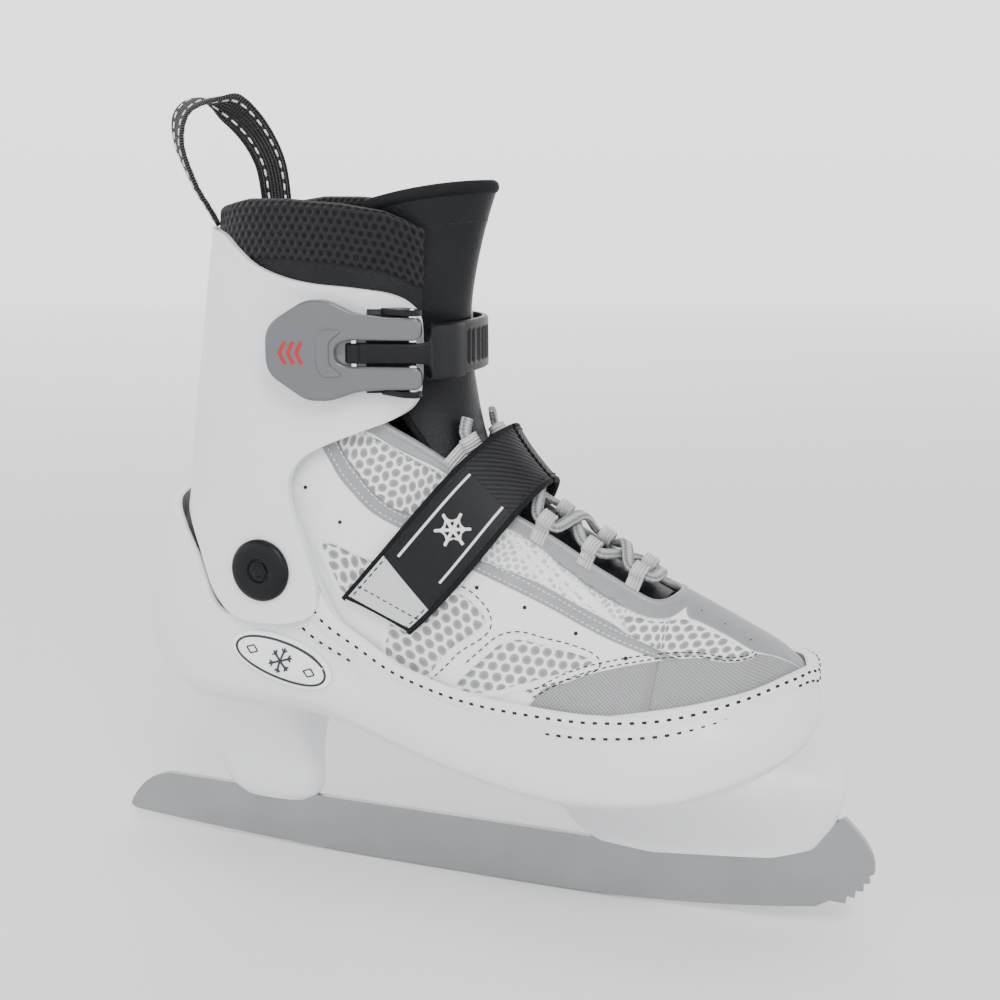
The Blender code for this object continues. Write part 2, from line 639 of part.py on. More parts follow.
def make_lace():
    points = even_path(smooth_path([last_point(*stop) for stop in lace_route()], 900), 80)
    curve = bpy.data.curves.new("lace", "CURVE")
    curve.dimensions = "3D"
    curve.bevel_depth = LACE_RADIUS * MM
    curve.bevel_resolution = 2
    curve.use_fill_caps = True
    spline = curve.splines.new("POLY")
    spline.points.add(len(points) - 1)
    for target, point in zip(spline.points, points):
        target.co = (*(point * MM), 1.0)
    curve.materials.append(material("lace_cord", *MATERIALS["lace_cord"]))
    thing = bpy.data.objects.new("lace", curve)
    bpy.context.collection.objects.link(thing)
    return thing


def make_lace_loop(name, s, side):
    """Webbing folded round the lace: an oval ring along the edge of the throat."""
    phi = side * loop_phi(s)
    centre = last_point(s, phi, LOOP_LIFT)
    along = last_point(s + 0.05, phi, LOOP_LIFT) - last_point(s - 0.05, phi, LOOP_LIFT)
    along /= np.linalg.norm(along)
    up = last_point(s, phi, LOOP_LIFT + 1) - centre
    across = np.cross(along, up)
    across /= np.linalg.norm(across)
    up = np.cross(across, along)
    rings = []
    for depth, grow in ((-2.8, 0.0), (2.8, 0.0), (2.8, 0.9), (-2.8, 0.9)):
        rings.append([centre + along * depth
                      + across * (2.7 + grow) * math.cos(2 * math.pi * k / 12)
                      + up * (2.35 + grow) * math.sin(2 * math.pi * k / 12) for k in range(12)])
    return ring_solid(name, rings, "silver_webbing")


# ------------------------------------------------------------------ instep strap
STRAP_THICKNESS = 2.2


def strap_centre(phi):
    return 8.0 + 0.28 * abs(phi) ** 1.8


def strap_half(phi):
    return 0.90 - 0.11 * phi * phi


def strap_lift(phi):
    return 1.6 + 5.9 * math.exp(-(phi / 0.85) ** 2)


def strap_patch(name, phi_start, phi_end, low, high, slot, steps, narrow=1.0, flat=False, **where):
    def point(u, v, lift):
        phi = lerp(phi_start, phi_end, u)
        s = strap_centre(phi) + strap_half(phi) * narrow * (1 - 2 * v)
        base = 0.0 if flat else strap_lift(phi)
        return last_point(s, phi, base + lift)
    outer = [[point(i / steps, j / 4, high) for j in range(5)] for i in range(steps + 1)]
    inner = [[point(i / steps, j / 4, low) for j in range(5)] for i in range(steps + 1)]
    return patch_solid(name, outer, inner, slot, **where)


def strap_axis():
    """Point and direction of the fold across the instep, about which the strap peels off."""
    rear = last_point(strap_centre(0) + strap_half(0), 0.0, strap_lift(0) + STRAP_THICKNESS)
    front = last_point(strap_centre(0) - strap_half(0), 0.0, strap_lift(0) + STRAP_THICKNESS)
    direction = rear - front
    return (rear + front) / 2, direction / np.linalg.norm(direction)


# ------------------------------------------------------------------ cuff
CUFF_OUTLINE = [  # side view, from the rear lower edge round the lobe and the front to the top
    (-114, 149.5), (-103, 141.5), (-94.5, 131), (-88, 117.5), (-81, 110), (-72, 107), (-60, 107),
    (-50, 109), (-44.2, 113), (-42.8, 120), (-45.5, 131), (-50.5, 144), (-53.5, 155), (-53, 163),
    (-48, 170), (-39, 175), (-28, 179.5), (-17, 184), (-10.5, 189), (-8.6, 197), (-8.6, 218),
    (-11.5, 225), (-18, 229.0), (-30, 231), (-46, 232.5), (-58, 235), (-68, 239), (-76, 244.5),
    (-84, 249.5), (-100, 251.5), (-125, 252), (-135, 200), (-130, 149.5)]


def cuff_tube(name, low, high, step, inset, thickness, slot):
    """Closed tube following the cuff's surface; thickness is a function of the angle."""
    heights = np.arange(low, high + step / 2, step)
    turn = [2 * math.pi * k / 44 for k in range(44)]
    outer = [[cuff_point(t, z, inset) for t in turn] for z in heights]
    inner = [[cuff_point(t, z, inset + thickness(t)) for t in turn] for z in heights]
    return ring_solid(name, outer + inner[::-1], slot)


def make_cuff(parent):
    cuff = cuff_tube("cuff", 104, 256, 19.0, 0.0, lambda turn: CUFF_WALL, "white_shell")
    outline = smooth_path(CUFF_OUTLINE, 56, closed=True)
    boolean(cuff, side_prism("trim", outline, -70, 70), "INTERSECT")
    for side in (-1, 1):
        boolean(cuff, cylinder("hole", (PIVOT_X, side * 42, PIVOT_Z), (0, 1, 0), PIN_RADIUS + GAP,
                               14, "foam", sides=20))
    return reparent(cuff, parent)


def reparent(thing, parent):
    thing.parent = parent
    thing.matrix_parent_inverse = parent.matrix_world.inverted()
    return thing


PIN_RADIUS = 4.0


def side_turned(name, profile, side, slot, sides=20, parent=None, centre=(PIVOT_X, PIVOT_Z)):
    """Turned solid about a Y axis; profile rows are distance from the middle plane and radius."""
    rings = []
    for y, radius in profile:
        turn = [2 * math.pi * k / sides for k in range(sides)]
        rings.append([np.array([centre[0] + radius * math.cos(t), side * y,
                                centre[1] + radius * math.sin(t)]) for t in turn])
    return stack_solid(name, rings, slot, origin=(centre[0], side * profile[0][0], centre[1]),
                       parent=parent)


def make_pivot(shell, side, label, cuff_empty):
    """Rivet with its wide cap, a spacer washer behind the cuff and a nut inside the shell."""
    face = 43.3 + GAP
    profile = [(31.6, PIN_RADIUS), (face, PIN_RADIUS), (face, CAP_RADIUS), (face + 1.2, CAP_RADIUS),
               (face + 2.2, CAP_RADIUS - 1.6), (face + 2.6, CAP_RADIUS - 5.0)]
    side_turned(f"cuff_rivet_{label}", profile, side, "black_plastic", parent=cuff_empty)
    ring = [(38.7, PIN_RADIUS + GAP), (38.7, 6.5), (39.4, 6.5), (39.4, PIN_RADIUS + GAP)]
    rings = [[np.array([PIVOT_X + r * math.cos(2 * math.pi * k / 18), side * y,
                        PIVOT_Z + r * math.sin(2 * math.pi * k / 18)]) for k in range(18)] for y, r in ring]
    ring_solid(f"pivot_washer_{label}", rings, "dark_steel")
    nut = [(29.6, PIN_RADIUS + GAP), (29.6, 9.0), (31.6, 9.0), (31.6, PIN_RADIUS + GAP)]
    rings = [[np.array([PIVOT_X + r * math.cos(2 * math.pi * k / 18), side * y,
                        PIVOT_Z + r * math.sin(2 * math.pi * k / 18)]) for k in range(18)] for y, r in nut]
    ring_solid(f"pivot_nut_{label}", rings, "dark_steel")
    boolean(shell, cylinder("hole", (PIVOT_X, side * 37, PIVOT_Z), (0, 1, 0), PIN_RADIUS + GAP, 20,
                            "foam", sides=20))


COLLAR_OUTLINE = [
    (-120, 162), (-60, 172), (-34, 192), (-20, 198.5), (-9.6, 203), (-10.2, 240), (-11.5, 248), (-14.5, 254.5),
    (-21, 258), (-36, 260.5), (-57, 262), (-75, 262), (-88, 260), (-120, 258)]
COLLAR_INSET = 3.6             # collar face inside the cuff's outer face


def make_collar(parent):
    def thickness(turn):
        """Full thickness round the back, thin where it meets the tongue."""
        rearness = min(max((1 - math.cos(turn)) / 1.2 - 0.05, 0.0), 1.0)
        return lerp(COLLAR_FRONT, COLLAR_THICKNESS, rearness)
    collar = cuff_tube("liner_collar", 158, 266, 18.0, COLLAR_INSET, thickness, "black_mesh")
    boolean(collar, side_prism("trim", rounded(COLLAR_OUTLINE, 4, 5.0), -70, 70), "INTERSECT")
    return reparent(collar, parent)


def tongue_point(u, z, inset):
    """Shin part of the tongue: front shield, u from -1 (outer side) to 1, flaring at its top."""
    lean = 9.5 * max(z - 218.0, 0.0) ** 1.6 / 45.0 ** 1.6
    angle = u * 1.18
    wide = 24.0 + 3.0 * max(z - 250.0, 0.0) / 16.0
    return np.array([-53 + (53.5 + lean - inset) * math.cos(angle), (wide - inset) * math.sin(angle), z])


def make_tongue_upper(parent):
    def height(u, v):
        top = 266.0 - 7.0 * abs(u) ** 3
        return lerp(201.0, top, v)
    def grid(inset):
        return [[tongue_point(2 * i / 12 - 1, height(2 * i / 12 - 1, j / 7), inset)
                 for j in range(8)] for i in range(13)]
    return patch_solid("tongue_upper", grid(0.0), grid(4.5), "black_leather", parent=parent)


PULL_LOOP = [(-91.3, -22.2, 252.8), (-94.5, -22.6, 258.0), (-101.0, -21.5, 267.0), (-109.0, -17.5, 281.0),
             (-112.0, -10.5, 292.5), (-109.5, -1.5, 298.0), (-104.0, 8.0, 297.0), (-97.5, 15.5, 288.5),
             (-92.5, 20.5, 276.0), (-91.0, 22.6, 262.0), (-91.3, 22.2, 252.8)]


def make_pull_loop(parent):
    centres = smooth_path(PULL_LOOP, 34)
    tangents = np.gradient(centres, axis=0)
    widths = []
    for centre, t in zip(centres, tangents):
        t = t / np.linalg.norm(t)
        wish = np.array([1.0, 0.067 * centre[1], 0.0])
        across = wish - t * np.dot(t, wish)
        widths.append(across / np.linalg.norm(across))
    return ribbon_solid("pull_loop", centres, widths, 13.0, 1.8, "black_webbing", parent=parent)


# ------------------------------------------------------------------ ratchet buckle
REARWARD = np.array([-math.cos(BUCKLE_ANGLE), -math.sin(BUCKLE_ANGLE), 0.0])
OUTWARD = np.array([math.sin(BUCKLE_ANGLE), -math.cos(BUCKLE_ANGLE), 0.0])
LEVER_OUTLINE = [  # distance from the hinge, height above the hinge
    (-3.2, 12.8), (-3.2, 4.6), (23.0, 4.6), (27.5, 2.6), (27.5, -2.6), (23.0, -4.6), (-3.2, -4.6),
    (-3.2, -12.8), (10.0, -12.6), (20.0, -13.6), (29.0, -17.0), (38.0, -17.0), (50.5, -8.5), (52.5, -4.0),
    (52.5, 6.5), (50.0, 11.0), (38.0, 18.5), (30.0, 18.8), (20.0, 14.0), (10.0, 12.6)]
LEVER_THICKNESS = 5.0


def at_buckle(a, b, depth):
    """Point in the buckle's frame: rearwards, up, and outwards from the cuff."""
    return np.array(HINGE) + REARWARD * a + np.array([0, 0, 1.0]) * b + OUTWARD * depth


def make_lever(parent):
    mesh = plate_mesh(rounded(LEVER_OUTLINE, 2, 1.6), -LEVER_THICKNESS / 2, LEVER_THICKNESS / 2, at_buckle)
    lever = finish("buckle_lever", mesh, "grey_gloss")
    boolean(lever, cylinder("hole", HINGE, (0, 0, 1), 1.6 + GAP, 60, "foam", sides=16))
    pin = at_buckle(LINK_PIN_ARM, 0, 0)
    boolean(lever, cylinder("hole", pin, (0, 0, 1), 1.4 + GAP, 19, "foam", sides=14))
    reparent(lever, parent)
    for label, side in (("upper", 1), ("lower", -1)):
        low, high = sorted((side * 3.9, side * 15.6))
        place = np.array(HINGE) + np.array([0, 0, (low + high) / 2])
        cylinder(f"lever_pin_{label}", place, (0, 0, 1), 1.6, high - low, "chrome", sides=16,
                 bevel=0.3, origin=tuple(place), parent=parent.parent)


LINK_PATH = [  # plan, x, y, half height
    (-28.0, -44.1, 3.2), (-25.7, -43.6, 3.6), (-17.6, -41.4, 3.6), (-8.8, -38.8, 3.6), (-3.6, -36.7, 3.6),
    (-1.4, -34.8, 3.6), (-0.9, -33.6, 9.6), (0.5, -31.0, 9.8), (2.0, -27.5, 9.8), (4.0, -22.5, 9.8),
    (5.0, -17.5, 9.8)]


def make_link(parent):
    """Pull link: a bar in the lever's slot that widens to a T over the ladder strap."""
    path = np.array(LINK_PATH)
    tangent = np.gradient(path[:, :2], axis=0)
    rings = []
    for (x, y, half), (dx, dy) in zip(path, tangent):
        side = np.array([dy, -dx]) / math.hypot(dx, dy) * 1.5
        rings.append([np.array([x + side[0] * k, y + side[1] * k, HINGE[2] + half * m])
                      for k, m in ((1, -1), (1, 1), (-1, 1), (-1, -1))])
    link = stack_solid("pull_link", rings, "black_plastic")
    pin = at_buckle(LINK_PIN_ARM, 0, 0)
    boolean(link, cylinder("eye", pin, (0, 0, 1), 3.1, 7.0, "black_plastic", sides=18), "UNION")
    boolean(link, cylinder("hole", pin, (0, 0, 1), 1.4 - 0.05 + 2 * GAP, 30, "foam", sides=14))
    reparent(link, parent)
    cylinder("link_pin", pin, (0, 0, 1), 1.4 - 0.05, 17, "chrome", sides=14, bevel=0.2,
             origin=tuple(pin), parent=parent.parent)
    return link


def make_buckle_base(cuff_empty, cuff):
    """Plate riveted to the cuff, with an ear above and below the lever that holds its pins."""
    def plate(lift):
        grid = []
        for i in range(6):
            psi = -lerp(0.66, 1.02, i / 5)
            grid.append([cuff_point(psi, z, -lift) for z in (194.2, 203, 215, 223.8)])
        return grid
    base = patch_solid("buckle_base", plate(2.0), plate(GAP), "black_plastic")
    for side in (1, -1):
        low, high = sorted((side * 13.2, side * 15.4))
        root = cuff_point(-0.72, HINGE[2], 0.0)
        tail = cuff_point(-0.92, HINGE[2], 0.0)
        ear = [tuple((root + OUTWARD * 0.9)[:2]), (HINGE[0] + 3.2, HINGE[1] + 1.5),
               (HINGE[0] + 2.4, HINGE[1] - 2.6), (HINGE[0] - 2.8, HINGE[1] - 3.0),
               tuple((tail + OUTWARD * 0.9)[:2])]
        mesh = plate_mesh(ear, HINGE[2] + low, HINGE[2] + high, lambda a, b, depth: (a, b, depth))
        boolean(base, finish("ear", mesh, "black_plastic"), "UNION")
    boolean(base, cylinder("hole", HINGE, (0, 0, 1), 1.6 + GAP, 40, "foam", sides=16))
    reparent(base, cuff_empty)
    for index, z in enumerate((200.0, 218.0), start=1):
        cuff_rivet(f"base_rivet_{index}", -0.88, z, (base, cuff), 2.3, cuff_empty)


def cuff_rivet(name, psi, z, things, reach, parent):
    """Round-headed rivet through a plate and the cuff, square to the cuff's face."""
    place = cuff_point(psi, z)
    axis = np.cross(cuff_point(psi + 0.05, z) - cuff_point(psi - 0.05, z),
                    cuff_point(psi, z + 2) - cuff_point(psi, z - 2))
    axis /= np.linalg.norm(axis)
    for thing in things:
        boolean(thing, cylinder("hole", place, axis, 1.5 + GAP, 14, "foam", sides=14))
    side = np.cross(axis, (0, 0, 1.0))
    side /= np.linalg.norm(side)
    up = np.cross(axis, side)
    rings = []
    for depth, radius in ((-CUFF_WALL + 0.2, 1.5), (reach, 1.5), (reach, 3.2), (reach + 0.5, 3.2),
                          (reach + 1.2, 1.8)):
        turn = [2 * math.pi * k / 14 for k in range(14)]
        rings.append([place + axis * depth + radius * (math.cos(t) * side + math.sin(t) * up) for t in turn])
    stack_solid(name, rings, "chrome", origin=tuple(place), parent=parent)


LADDER_PIN_PSI = 1.34
LADDER_Z = (199.5, 218.5)


def ladder_pin_place():
    return cuff_point(LADDER_PIN_PSI, HINGE[2], -4.2)


def make_ladder(cuff_empty, ladder_empty, cuff):
    """Ratchet strap round the shin, its eye and pin on the inner side, and the bracket there."""
    def grid(lift):
        return [[cuff_point(lerp(-0.52, LADDER_PIN_PSI - 0.03, i / 22), z, -lift) for z in LADDER_Z]
                for i in range(23)]
    strap = patch_solid("ladder_strap", grid(3.0), grid(0.9), "black_plastic")
    pin = ladder_pin_place()
    eye = cylinder("eye", pin, (0, 0, 1), 3.3, LADDER_Z[1] - LADDER_Z[0], "black_plastic", sides=18)
    boolean(strap, eye, "UNION")
    boolean(strap, cylinder("hole", pin, (0, 0, 1), 1.5 + GAP, 40, "foam", sides=16))
    reparent(strap, ladder_empty)
    def plate(lift):
        return [[cuff_point(lerp(LADDER_PIN_PSI + 0.12, LADDER_PIN_PSI + 0.52, i / 4), z, -lift)
                 for z in (LADDER_Z[0] - 2.6, HINGE[2], LADDER_Z[1] + 2.6)] for i in range(5)]
    bracket = patch_solid("ladder_bracket", plate(2.2), plate(GAP), "black_plastic")
    root = cuff_point(LADDER_PIN_PSI + 0.16, HINGE[2], -1.2)
    back = cuff_point(LADDER_PIN_PSI + 0.42, HINGE[2], -1.2)
    for low, high in ((LADDER_Z[0] - 2.6, LADDER_Z[0] - 0.5), (LADDER_Z[1] + 0.5, LADDER_Z[1] + 2.6)):
        ear = [tuple(root[:2]), (pin[0] + 3.0, pin[1] - 1.6), (pin[0] + 3.0, pin[1] + 2.4),
               (pin[0] - 2.6, pin[1] + 3.2), tuple(back[:2])]
        mesh = plate_mesh(ear, low, high, lambda a, b, depth: (a, b, depth))
        boolean(bracket, finish("ear", mesh, "black_plastic"), "UNION")
    boolean(bracket, cylinder("hole", pin, (0, 0, 1), 1.5 + GAP, 40, "foam", sides=16))
    reparent(bracket, cuff_empty)
    cylinder("ladder_pin", pin, (0, 0, 1), 1.5, LADDER_Z[1] - LADDER_Z[0] + 5.6, "chrome", sides=16,
             bevel=0.3, origin=tuple(pin), parent=cuff_empty)
    cuff_rivet("bracket_rivet", LADDER_PIN_PSI + 0.42, HINGE[2], (bracket, cuff), 2.5, cuff_empty)


# ------------------------------------------------------------------ badge
BADGE_CENTRE = (-59.0, 92.5)
BADGE_SIZE = (21.5, 8.6)
BADGE_TILT = math.radians(-15)


def shell_face_y(x, z):
    """Outer side of the shell wall, as y at a side-view position."""
    rings = shell_rings(60, levels=tuple(np.linspace(1, 4, 25)))
    points = np.array(rings)[:, 4:57].reshape(-1, 3)
    near = np.argsort((points[:, 0] - x) ** 2 + (points[:, 2] - z) ** 2)[:3]
    return float(points[near, 1].mean())


def make_badge():
    """Oval plate lying on the outer side of the shell."""
    def grid(lift):
        rings = []
        for ring in range(1, 4):
            share = ring / 3
            row = []
            for k in range(22):
                t = 2 * math.pi * k / 22
                a, b = BADGE_SIZE[0] * share * math.cos(t), BADGE_SIZE[1] * share * math.sin(t)
                x = BADGE_CENTRE[0] + a * math.cos(BADGE_TILT) - b * math.sin(BADGE_TILT)
                z = BADGE_CENTRE[1] + a * math.sin(BADGE_TILT) + b * math.cos(BADGE_TILT)
                row.append(np.array([x, shell_face_y(x, z) - lift, z]))
            rings.append(row)
        return rings
    outer, inner = grid(1.3), grid(0.45)
    mesh = bmesh.new()
    rows = add_grid(mesh, outer + inner[::-1], close_v=True)
    for row in (rows[0], rows[-1]):
        centre = mesh.verts.new(sum((v.co for v in row), Vector()) / len(row))
        for j, vertex in enumerate(row):
            mesh.faces.new((vertex, row[(j + 1) % len(row)], centre))
    return finish("shell_badge", mesh, "badge_white")


# ------------------------------------------------------------------ the whole skate
def main():
    for thing in list(bpy.data.objects):
        bpy.data.objects.remove(thing)
    cuff_empty = empty("cuff_axis", (PIVOT_X, 0, PIVOT_Z))
    lever_empty = empty("lever_axis", HINGE, cuff_empty)
    link_empty = empty("link_axis", at_buckle(LINK_PIN_ARM, 0, 0), lever_empty)
    ladder_empty = empty("ladder_axis", ladder_pin_place(), cuff_empty)

    shell = make_shell()
    heel, front = make_towers()
    make_blade()
    board = inner_sole("lasting_board", GAP, 2.2, 0.6, "board")
    inner_sole("footbed", 2.5, 7.0, 1.6, "foam")
    make_bolts(shell, heel, front, board)
    make_vamp()
    make_quarter("lateral_quarter", -1)
    make_quarter("medial_quarter", 1)
    make_tongue_lower()
    make_lace()
    for row, s in enumerate(LOOP_ROWS, start=1):
        make_lace_loop(f"lateral_lace_loop_{row}", s, -1)
        make_lace_loop(f"medial_lace_loop_{row}", s, 1)

    strap_patch("strap_pad", -1.66, -0.85, GAP, 1.2, "black_mesh", 8, narrow=0.9, flat=True)
    point, _ = strap_axis()
    strap_empty = empty("strap_axis", point)
    strap_patch("strap_flap", -1.71, -0.02, 0.0, STRAP_THICKNESS, "black_webbing", 13, parent=strap_empty)
    strap_patch("strap_medial", 0.02, 1.71, 0.0, STRAP_THICKNESS, "black_webbing", 13)

    cuff = make_cuff(cuff_empty)
    make_pivot(shell, -1, "lateral", cuff_empty)
    make_pivot(shell, 1, "medial", cuff_empty)
    make_collar(cuff_empty)
    make_tongue_upper(cuff_empty)
    make_pull_loop(cuff_empty)
    make_buckle_base(cuff_empty, cuff)
    make_lever(lever_empty)
    make_link(link_empty)
    make_ladder(cuff_empty, ladder_empty, cuff)
    make_badge()


main()
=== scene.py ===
"""Looks of the soft-boot ice skate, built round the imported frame. Lengths are in mm unless said."""
import math

import bmesh
import bpy
import numpy as np
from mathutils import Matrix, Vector


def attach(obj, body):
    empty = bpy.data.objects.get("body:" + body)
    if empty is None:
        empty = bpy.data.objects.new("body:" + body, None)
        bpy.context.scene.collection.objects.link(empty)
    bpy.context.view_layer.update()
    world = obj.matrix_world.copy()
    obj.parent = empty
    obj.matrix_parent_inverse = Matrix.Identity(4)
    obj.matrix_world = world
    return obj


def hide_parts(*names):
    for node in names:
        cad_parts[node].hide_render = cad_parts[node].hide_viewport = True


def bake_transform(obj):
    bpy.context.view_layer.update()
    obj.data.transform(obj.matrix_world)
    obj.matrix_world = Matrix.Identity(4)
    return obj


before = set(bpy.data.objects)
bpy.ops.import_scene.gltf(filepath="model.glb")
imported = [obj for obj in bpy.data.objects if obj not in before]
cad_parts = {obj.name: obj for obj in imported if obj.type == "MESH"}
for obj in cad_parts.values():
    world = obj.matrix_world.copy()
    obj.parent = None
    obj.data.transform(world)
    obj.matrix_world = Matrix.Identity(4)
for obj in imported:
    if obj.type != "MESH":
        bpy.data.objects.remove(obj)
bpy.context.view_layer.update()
MM = 0.001

# ------------------------------------------------------------------ driving dimensions
PIVOT = (-65.4, 127.1)
SHELL_WALL = 3.0
CUFF_WALL = 2.8
RIM_LIFT = 4.0
BUCKLE_ANGLE = math.radians(14.1)
HINGE = np.array([-5.3, -38.3, 209.0])
LINK_PIN_ARM = 21.0

# crest x, z; opposite point x, z; outer and inner half width; middle y; skew; fullness
LAST = np.array([
    (131.0, 88.0, 131.0, 84.0, 3.0, 3.0, 5.0, 0.10, 0.95),
    (127.5, 96.5, 128.0, 75.0, 15.0, 17.0, 5.0, 0.25, 0.90),
    (119.5, 103.5, 120.0, 68.0, 27.0, 30.0, 4.0, 0.40, 0.88),
    (107.5, 110.0, 108.0, 63.0, 38.0, 38.0, 3.0, 0.48, 0.85),
    (90.0, 118.5, 90.0, 60.0, 45.0, 44.0, 2.0, 0.50, 0.85),
    (67.0, 129.5, 66.0, 58.0, 48.5, 45.0, 1.0, 0.50, 0.85),
    (46.0, 141.0, 40.0, 58.0, 47.0, 42.0, 1.0, 0.48, 0.85),
    (29.0, 152.0, 12.0, 60.0, 43.5, 39.0, 0.0, 0.42, 0.85),
    (17.0, 164.0, -18.0, 64.0, 40.0, 37.0, 0.0, 0.34, 0.85),
    (9.0, 176.0, -52.0, 70.0, 37.5, 35.5, 0.0, 0.22, 0.84),
    (4.0, 188.0, -90.0, 76.0, 36.0, 34.5, 0.0, 0.10, 0.82),
    (1.0, 199.0, -116.0, 90.0, 35.5, 34.5, 0.0, 0.00, 0.80),
    (0.0, 209.0, -121.0, 118.0, 35.5, 34.5, 0.0, 0.00, 0.80),
    (0.0, 219.0, -114.0, 148.0, 35.5, 34.5, 0.0, 0.00, 0.80)])

# girth x, outer y, inner y, girth z | bottom z, bottom inset | shoulder z, shoulder inset
SHELL_BODY = np.array([
    (-135.0, 0.0, 0.0, 100.0, 70.0, 15.0, 126.0, 2.5),
    (-128.0, -22.0, 21.0, 100.0, 70.0, 13.0, 126.0, 2.5),
    (-113.0, -34.5, 33.0, 99.0, 70.0, 11.0, 123.0, 1.2),
    (-97.0, -39.5, 37.5, 97.0, 70.0, 10.0, 115.0, 0.3),
    (-86.0, -40.8, 39.0, 94.0, 70.0, 10.0, 102.0, 0.2),
    (-76.5, -41.2, 39.5, 92.0, 70.0, 10.0, 101.0, 2.0),
    (-65.0, -41.5, 39.8, 91.0, 70.0, 10.0, 102.5, 3.0),
    (-52.0, -41.8, 40.0, 89.0, 70.0, 10.0, 102.5, 4.1),
    (-38.0, -42.2, 40.2, 84.0, 67.5, 9.5, 99.0, 4.9),
    (-18.0, -43.8, 40.8, 77.0, 62.5, 9.0, 86.0, 0.8),
    (14.0, -47.5, 42.8, 67.5, 56.0, 8.0, 76.0, 0.8),
    (52.0, -51.5, 47.2, 62.0, 52.5, 7.5, 73.0, 0.8),
    (88.0, -49.5, 49.5, 63.5, 55.5, 7.5, 76.0, 1.2),
    (113.0, -38.0, 43.5, 70.5, 61.5, 8.0, 82.0, 1.2),
    (129.0, -19.5, 27.0, 77.5, 66.5, 9.0, 88.0, 1.0),
    (135.0, 4.5, 4.5, 81.0, 69.0, 9.5, 90.5, 0.8)])
RIM_HEEL = [(-123.5, 0.0, 0.0, 147.0), (-117.5, -18.0, 17.5, 145.5), (-107.5, -31.0, 30.0, 140.0),
            (-96.0, -38.3, 37.0, 128.0), (-86.5, -40.2, 38.6, 110.0), (-77.0, -38.6, 37.0, 112.0),
            (-67.0, -38.6, 37.6, 146.0), (-53.5, -39.3, 38.3, 146.0)]
RIM_LAST = [(9.70, 1.70), (8.60, 2.02), (7.25, 2.10), (5.65, 1.91), (4.10, 1.61), (2.75, 1.30),
            (1.55, 0.85), (0.90, 0.0)]
CUFF_OUTLINE = [
    (-114, 149.5), (-103, 141.5), (-94.5, 131), (-88, 117.5), (-81, 110), (-72, 107), (-60, 107),
    (-50, 109), (-44.2, 113), (-42.8, 120), (-45.5, 131), (-50.5, 144), (-53.5, 155), (-53, 163),
    (-48, 170), (-39, 175), (-28, 179.5), (-17, 184), (-10.5, 189), (-8.6, 197), (-8.6, 218),
    (-11.5, 225), (-18, 229.0), (-30, 231), (-46, 232.5), (-58, 235), (-68, 239), (-76, 244.5),
    (-84, 249.5), (-100, 251.5), (-125, 252), (-135, 200), (-130, 149.5)]


# ------------------------------------------------------------------ numbers
def catmull(table, place):
    """Smooth interpolation along the rows of a table, for one place or an array of them."""
    place = np.clip(place, 0, len(table) - 1 - 1e-9)
    i = np.floor(place).astype(int)
    t = (place - i)[..., None]
    last = len(table) - 1
    p0, p1 = table[np.maximum(i - 1, 0)], table[i]
    p2, p3 = table[i + 1], table[np.minimum(i + 2, last)]
    return 0.5 * (2 * p1 + (p2 - p0) * t + (2 * p0 - 5 * p1 + 4 * p2 - p3) * t ** 2
                  + (3 * p1 - p0 - 3 * p2 + p3) * t ** 3)


def lerp(a, b, t):
    return a + (b - a) * t


def signed_power(value, power):
    """Power that keeps the sign, for the outlines of superellipses."""
    return np.sign(value) * np.abs(value) ** power


def smooth_step(value, low, high):
    t = np.clip((value - low) / (high - low), 0, 1)
    return t * t * (3 - 2 * t)


def smooth_path(points, count, closed=False):
    """Smooth curve through the points, with as many points as asked."""
    rows = np.array(points, dtype=float)
    if closed:
        rows = np.vstack([rows[-1], rows, rows[0], rows[1]])
        places = 1 + np.arange(count) / count * len(points)
    else:
        places = np.linspace(0, len(rows) - 1, count)
    return catmull(rows, places)


def path_length(points):
    return np.concatenate([[0.0], np.cumsum(np.linalg.norm(np.diff(points, axis=0), axis=1))])


def even_path(points, count):
    """The same path with its points evenly spaced."""
    run = path_length(points)
    wanted = np.linspace(0.0, run[-1], count)
    return np.stack([np.interp(wanted, run, points[:, k]) for k in range(points.shape[1])], axis=1)


def unit(vectors):
    return vectors / np.maximum(np.linalg.norm(vectors, axis=-1, keepdims=True), 1e-9)


# ------------------------------------------------------------------ reference surfaces
def last_at(s, phi):
    """Bare point of the last, read from the rows of its table."""
    row = catmull(LAST, s)
    a = np.abs(phi)
    h = (1 - np.cos(a)) / 2
    breadth = np.maximum(np.sin(a - row[..., 7] * np.sin(a)), 0.0) ** row[..., 8]
    half = np.where(phi < 0, row[..., 4], row[..., 5])
    return np.stack([lerp(row[..., 0], row[..., 2], h), row[..., 6] + np.sign(phi) * half * breadth,
                     lerp(row[..., 1], row[..., 3], h)], axis=-1)


def last_surface(s, phi, lift=0.0):
    """Points on the shoe last; s runs from toe to ankle, phi from crest (0) to sole (+-pi)."""
    s, phi, lift = np.broadcast_arrays(np.asarray(s, float), np.asarray(phi, float),
                                       np.asarray(lift, float))
    step = 0.02
    along = last_at(s + step, phi) - last_at(s - step, phi)
    across = last_at(s, phi + step) - last_at(s, phi - step)
    normal = unit(np.cross(across, along))
    return last_at(s, phi) + normal * lift[..., None]


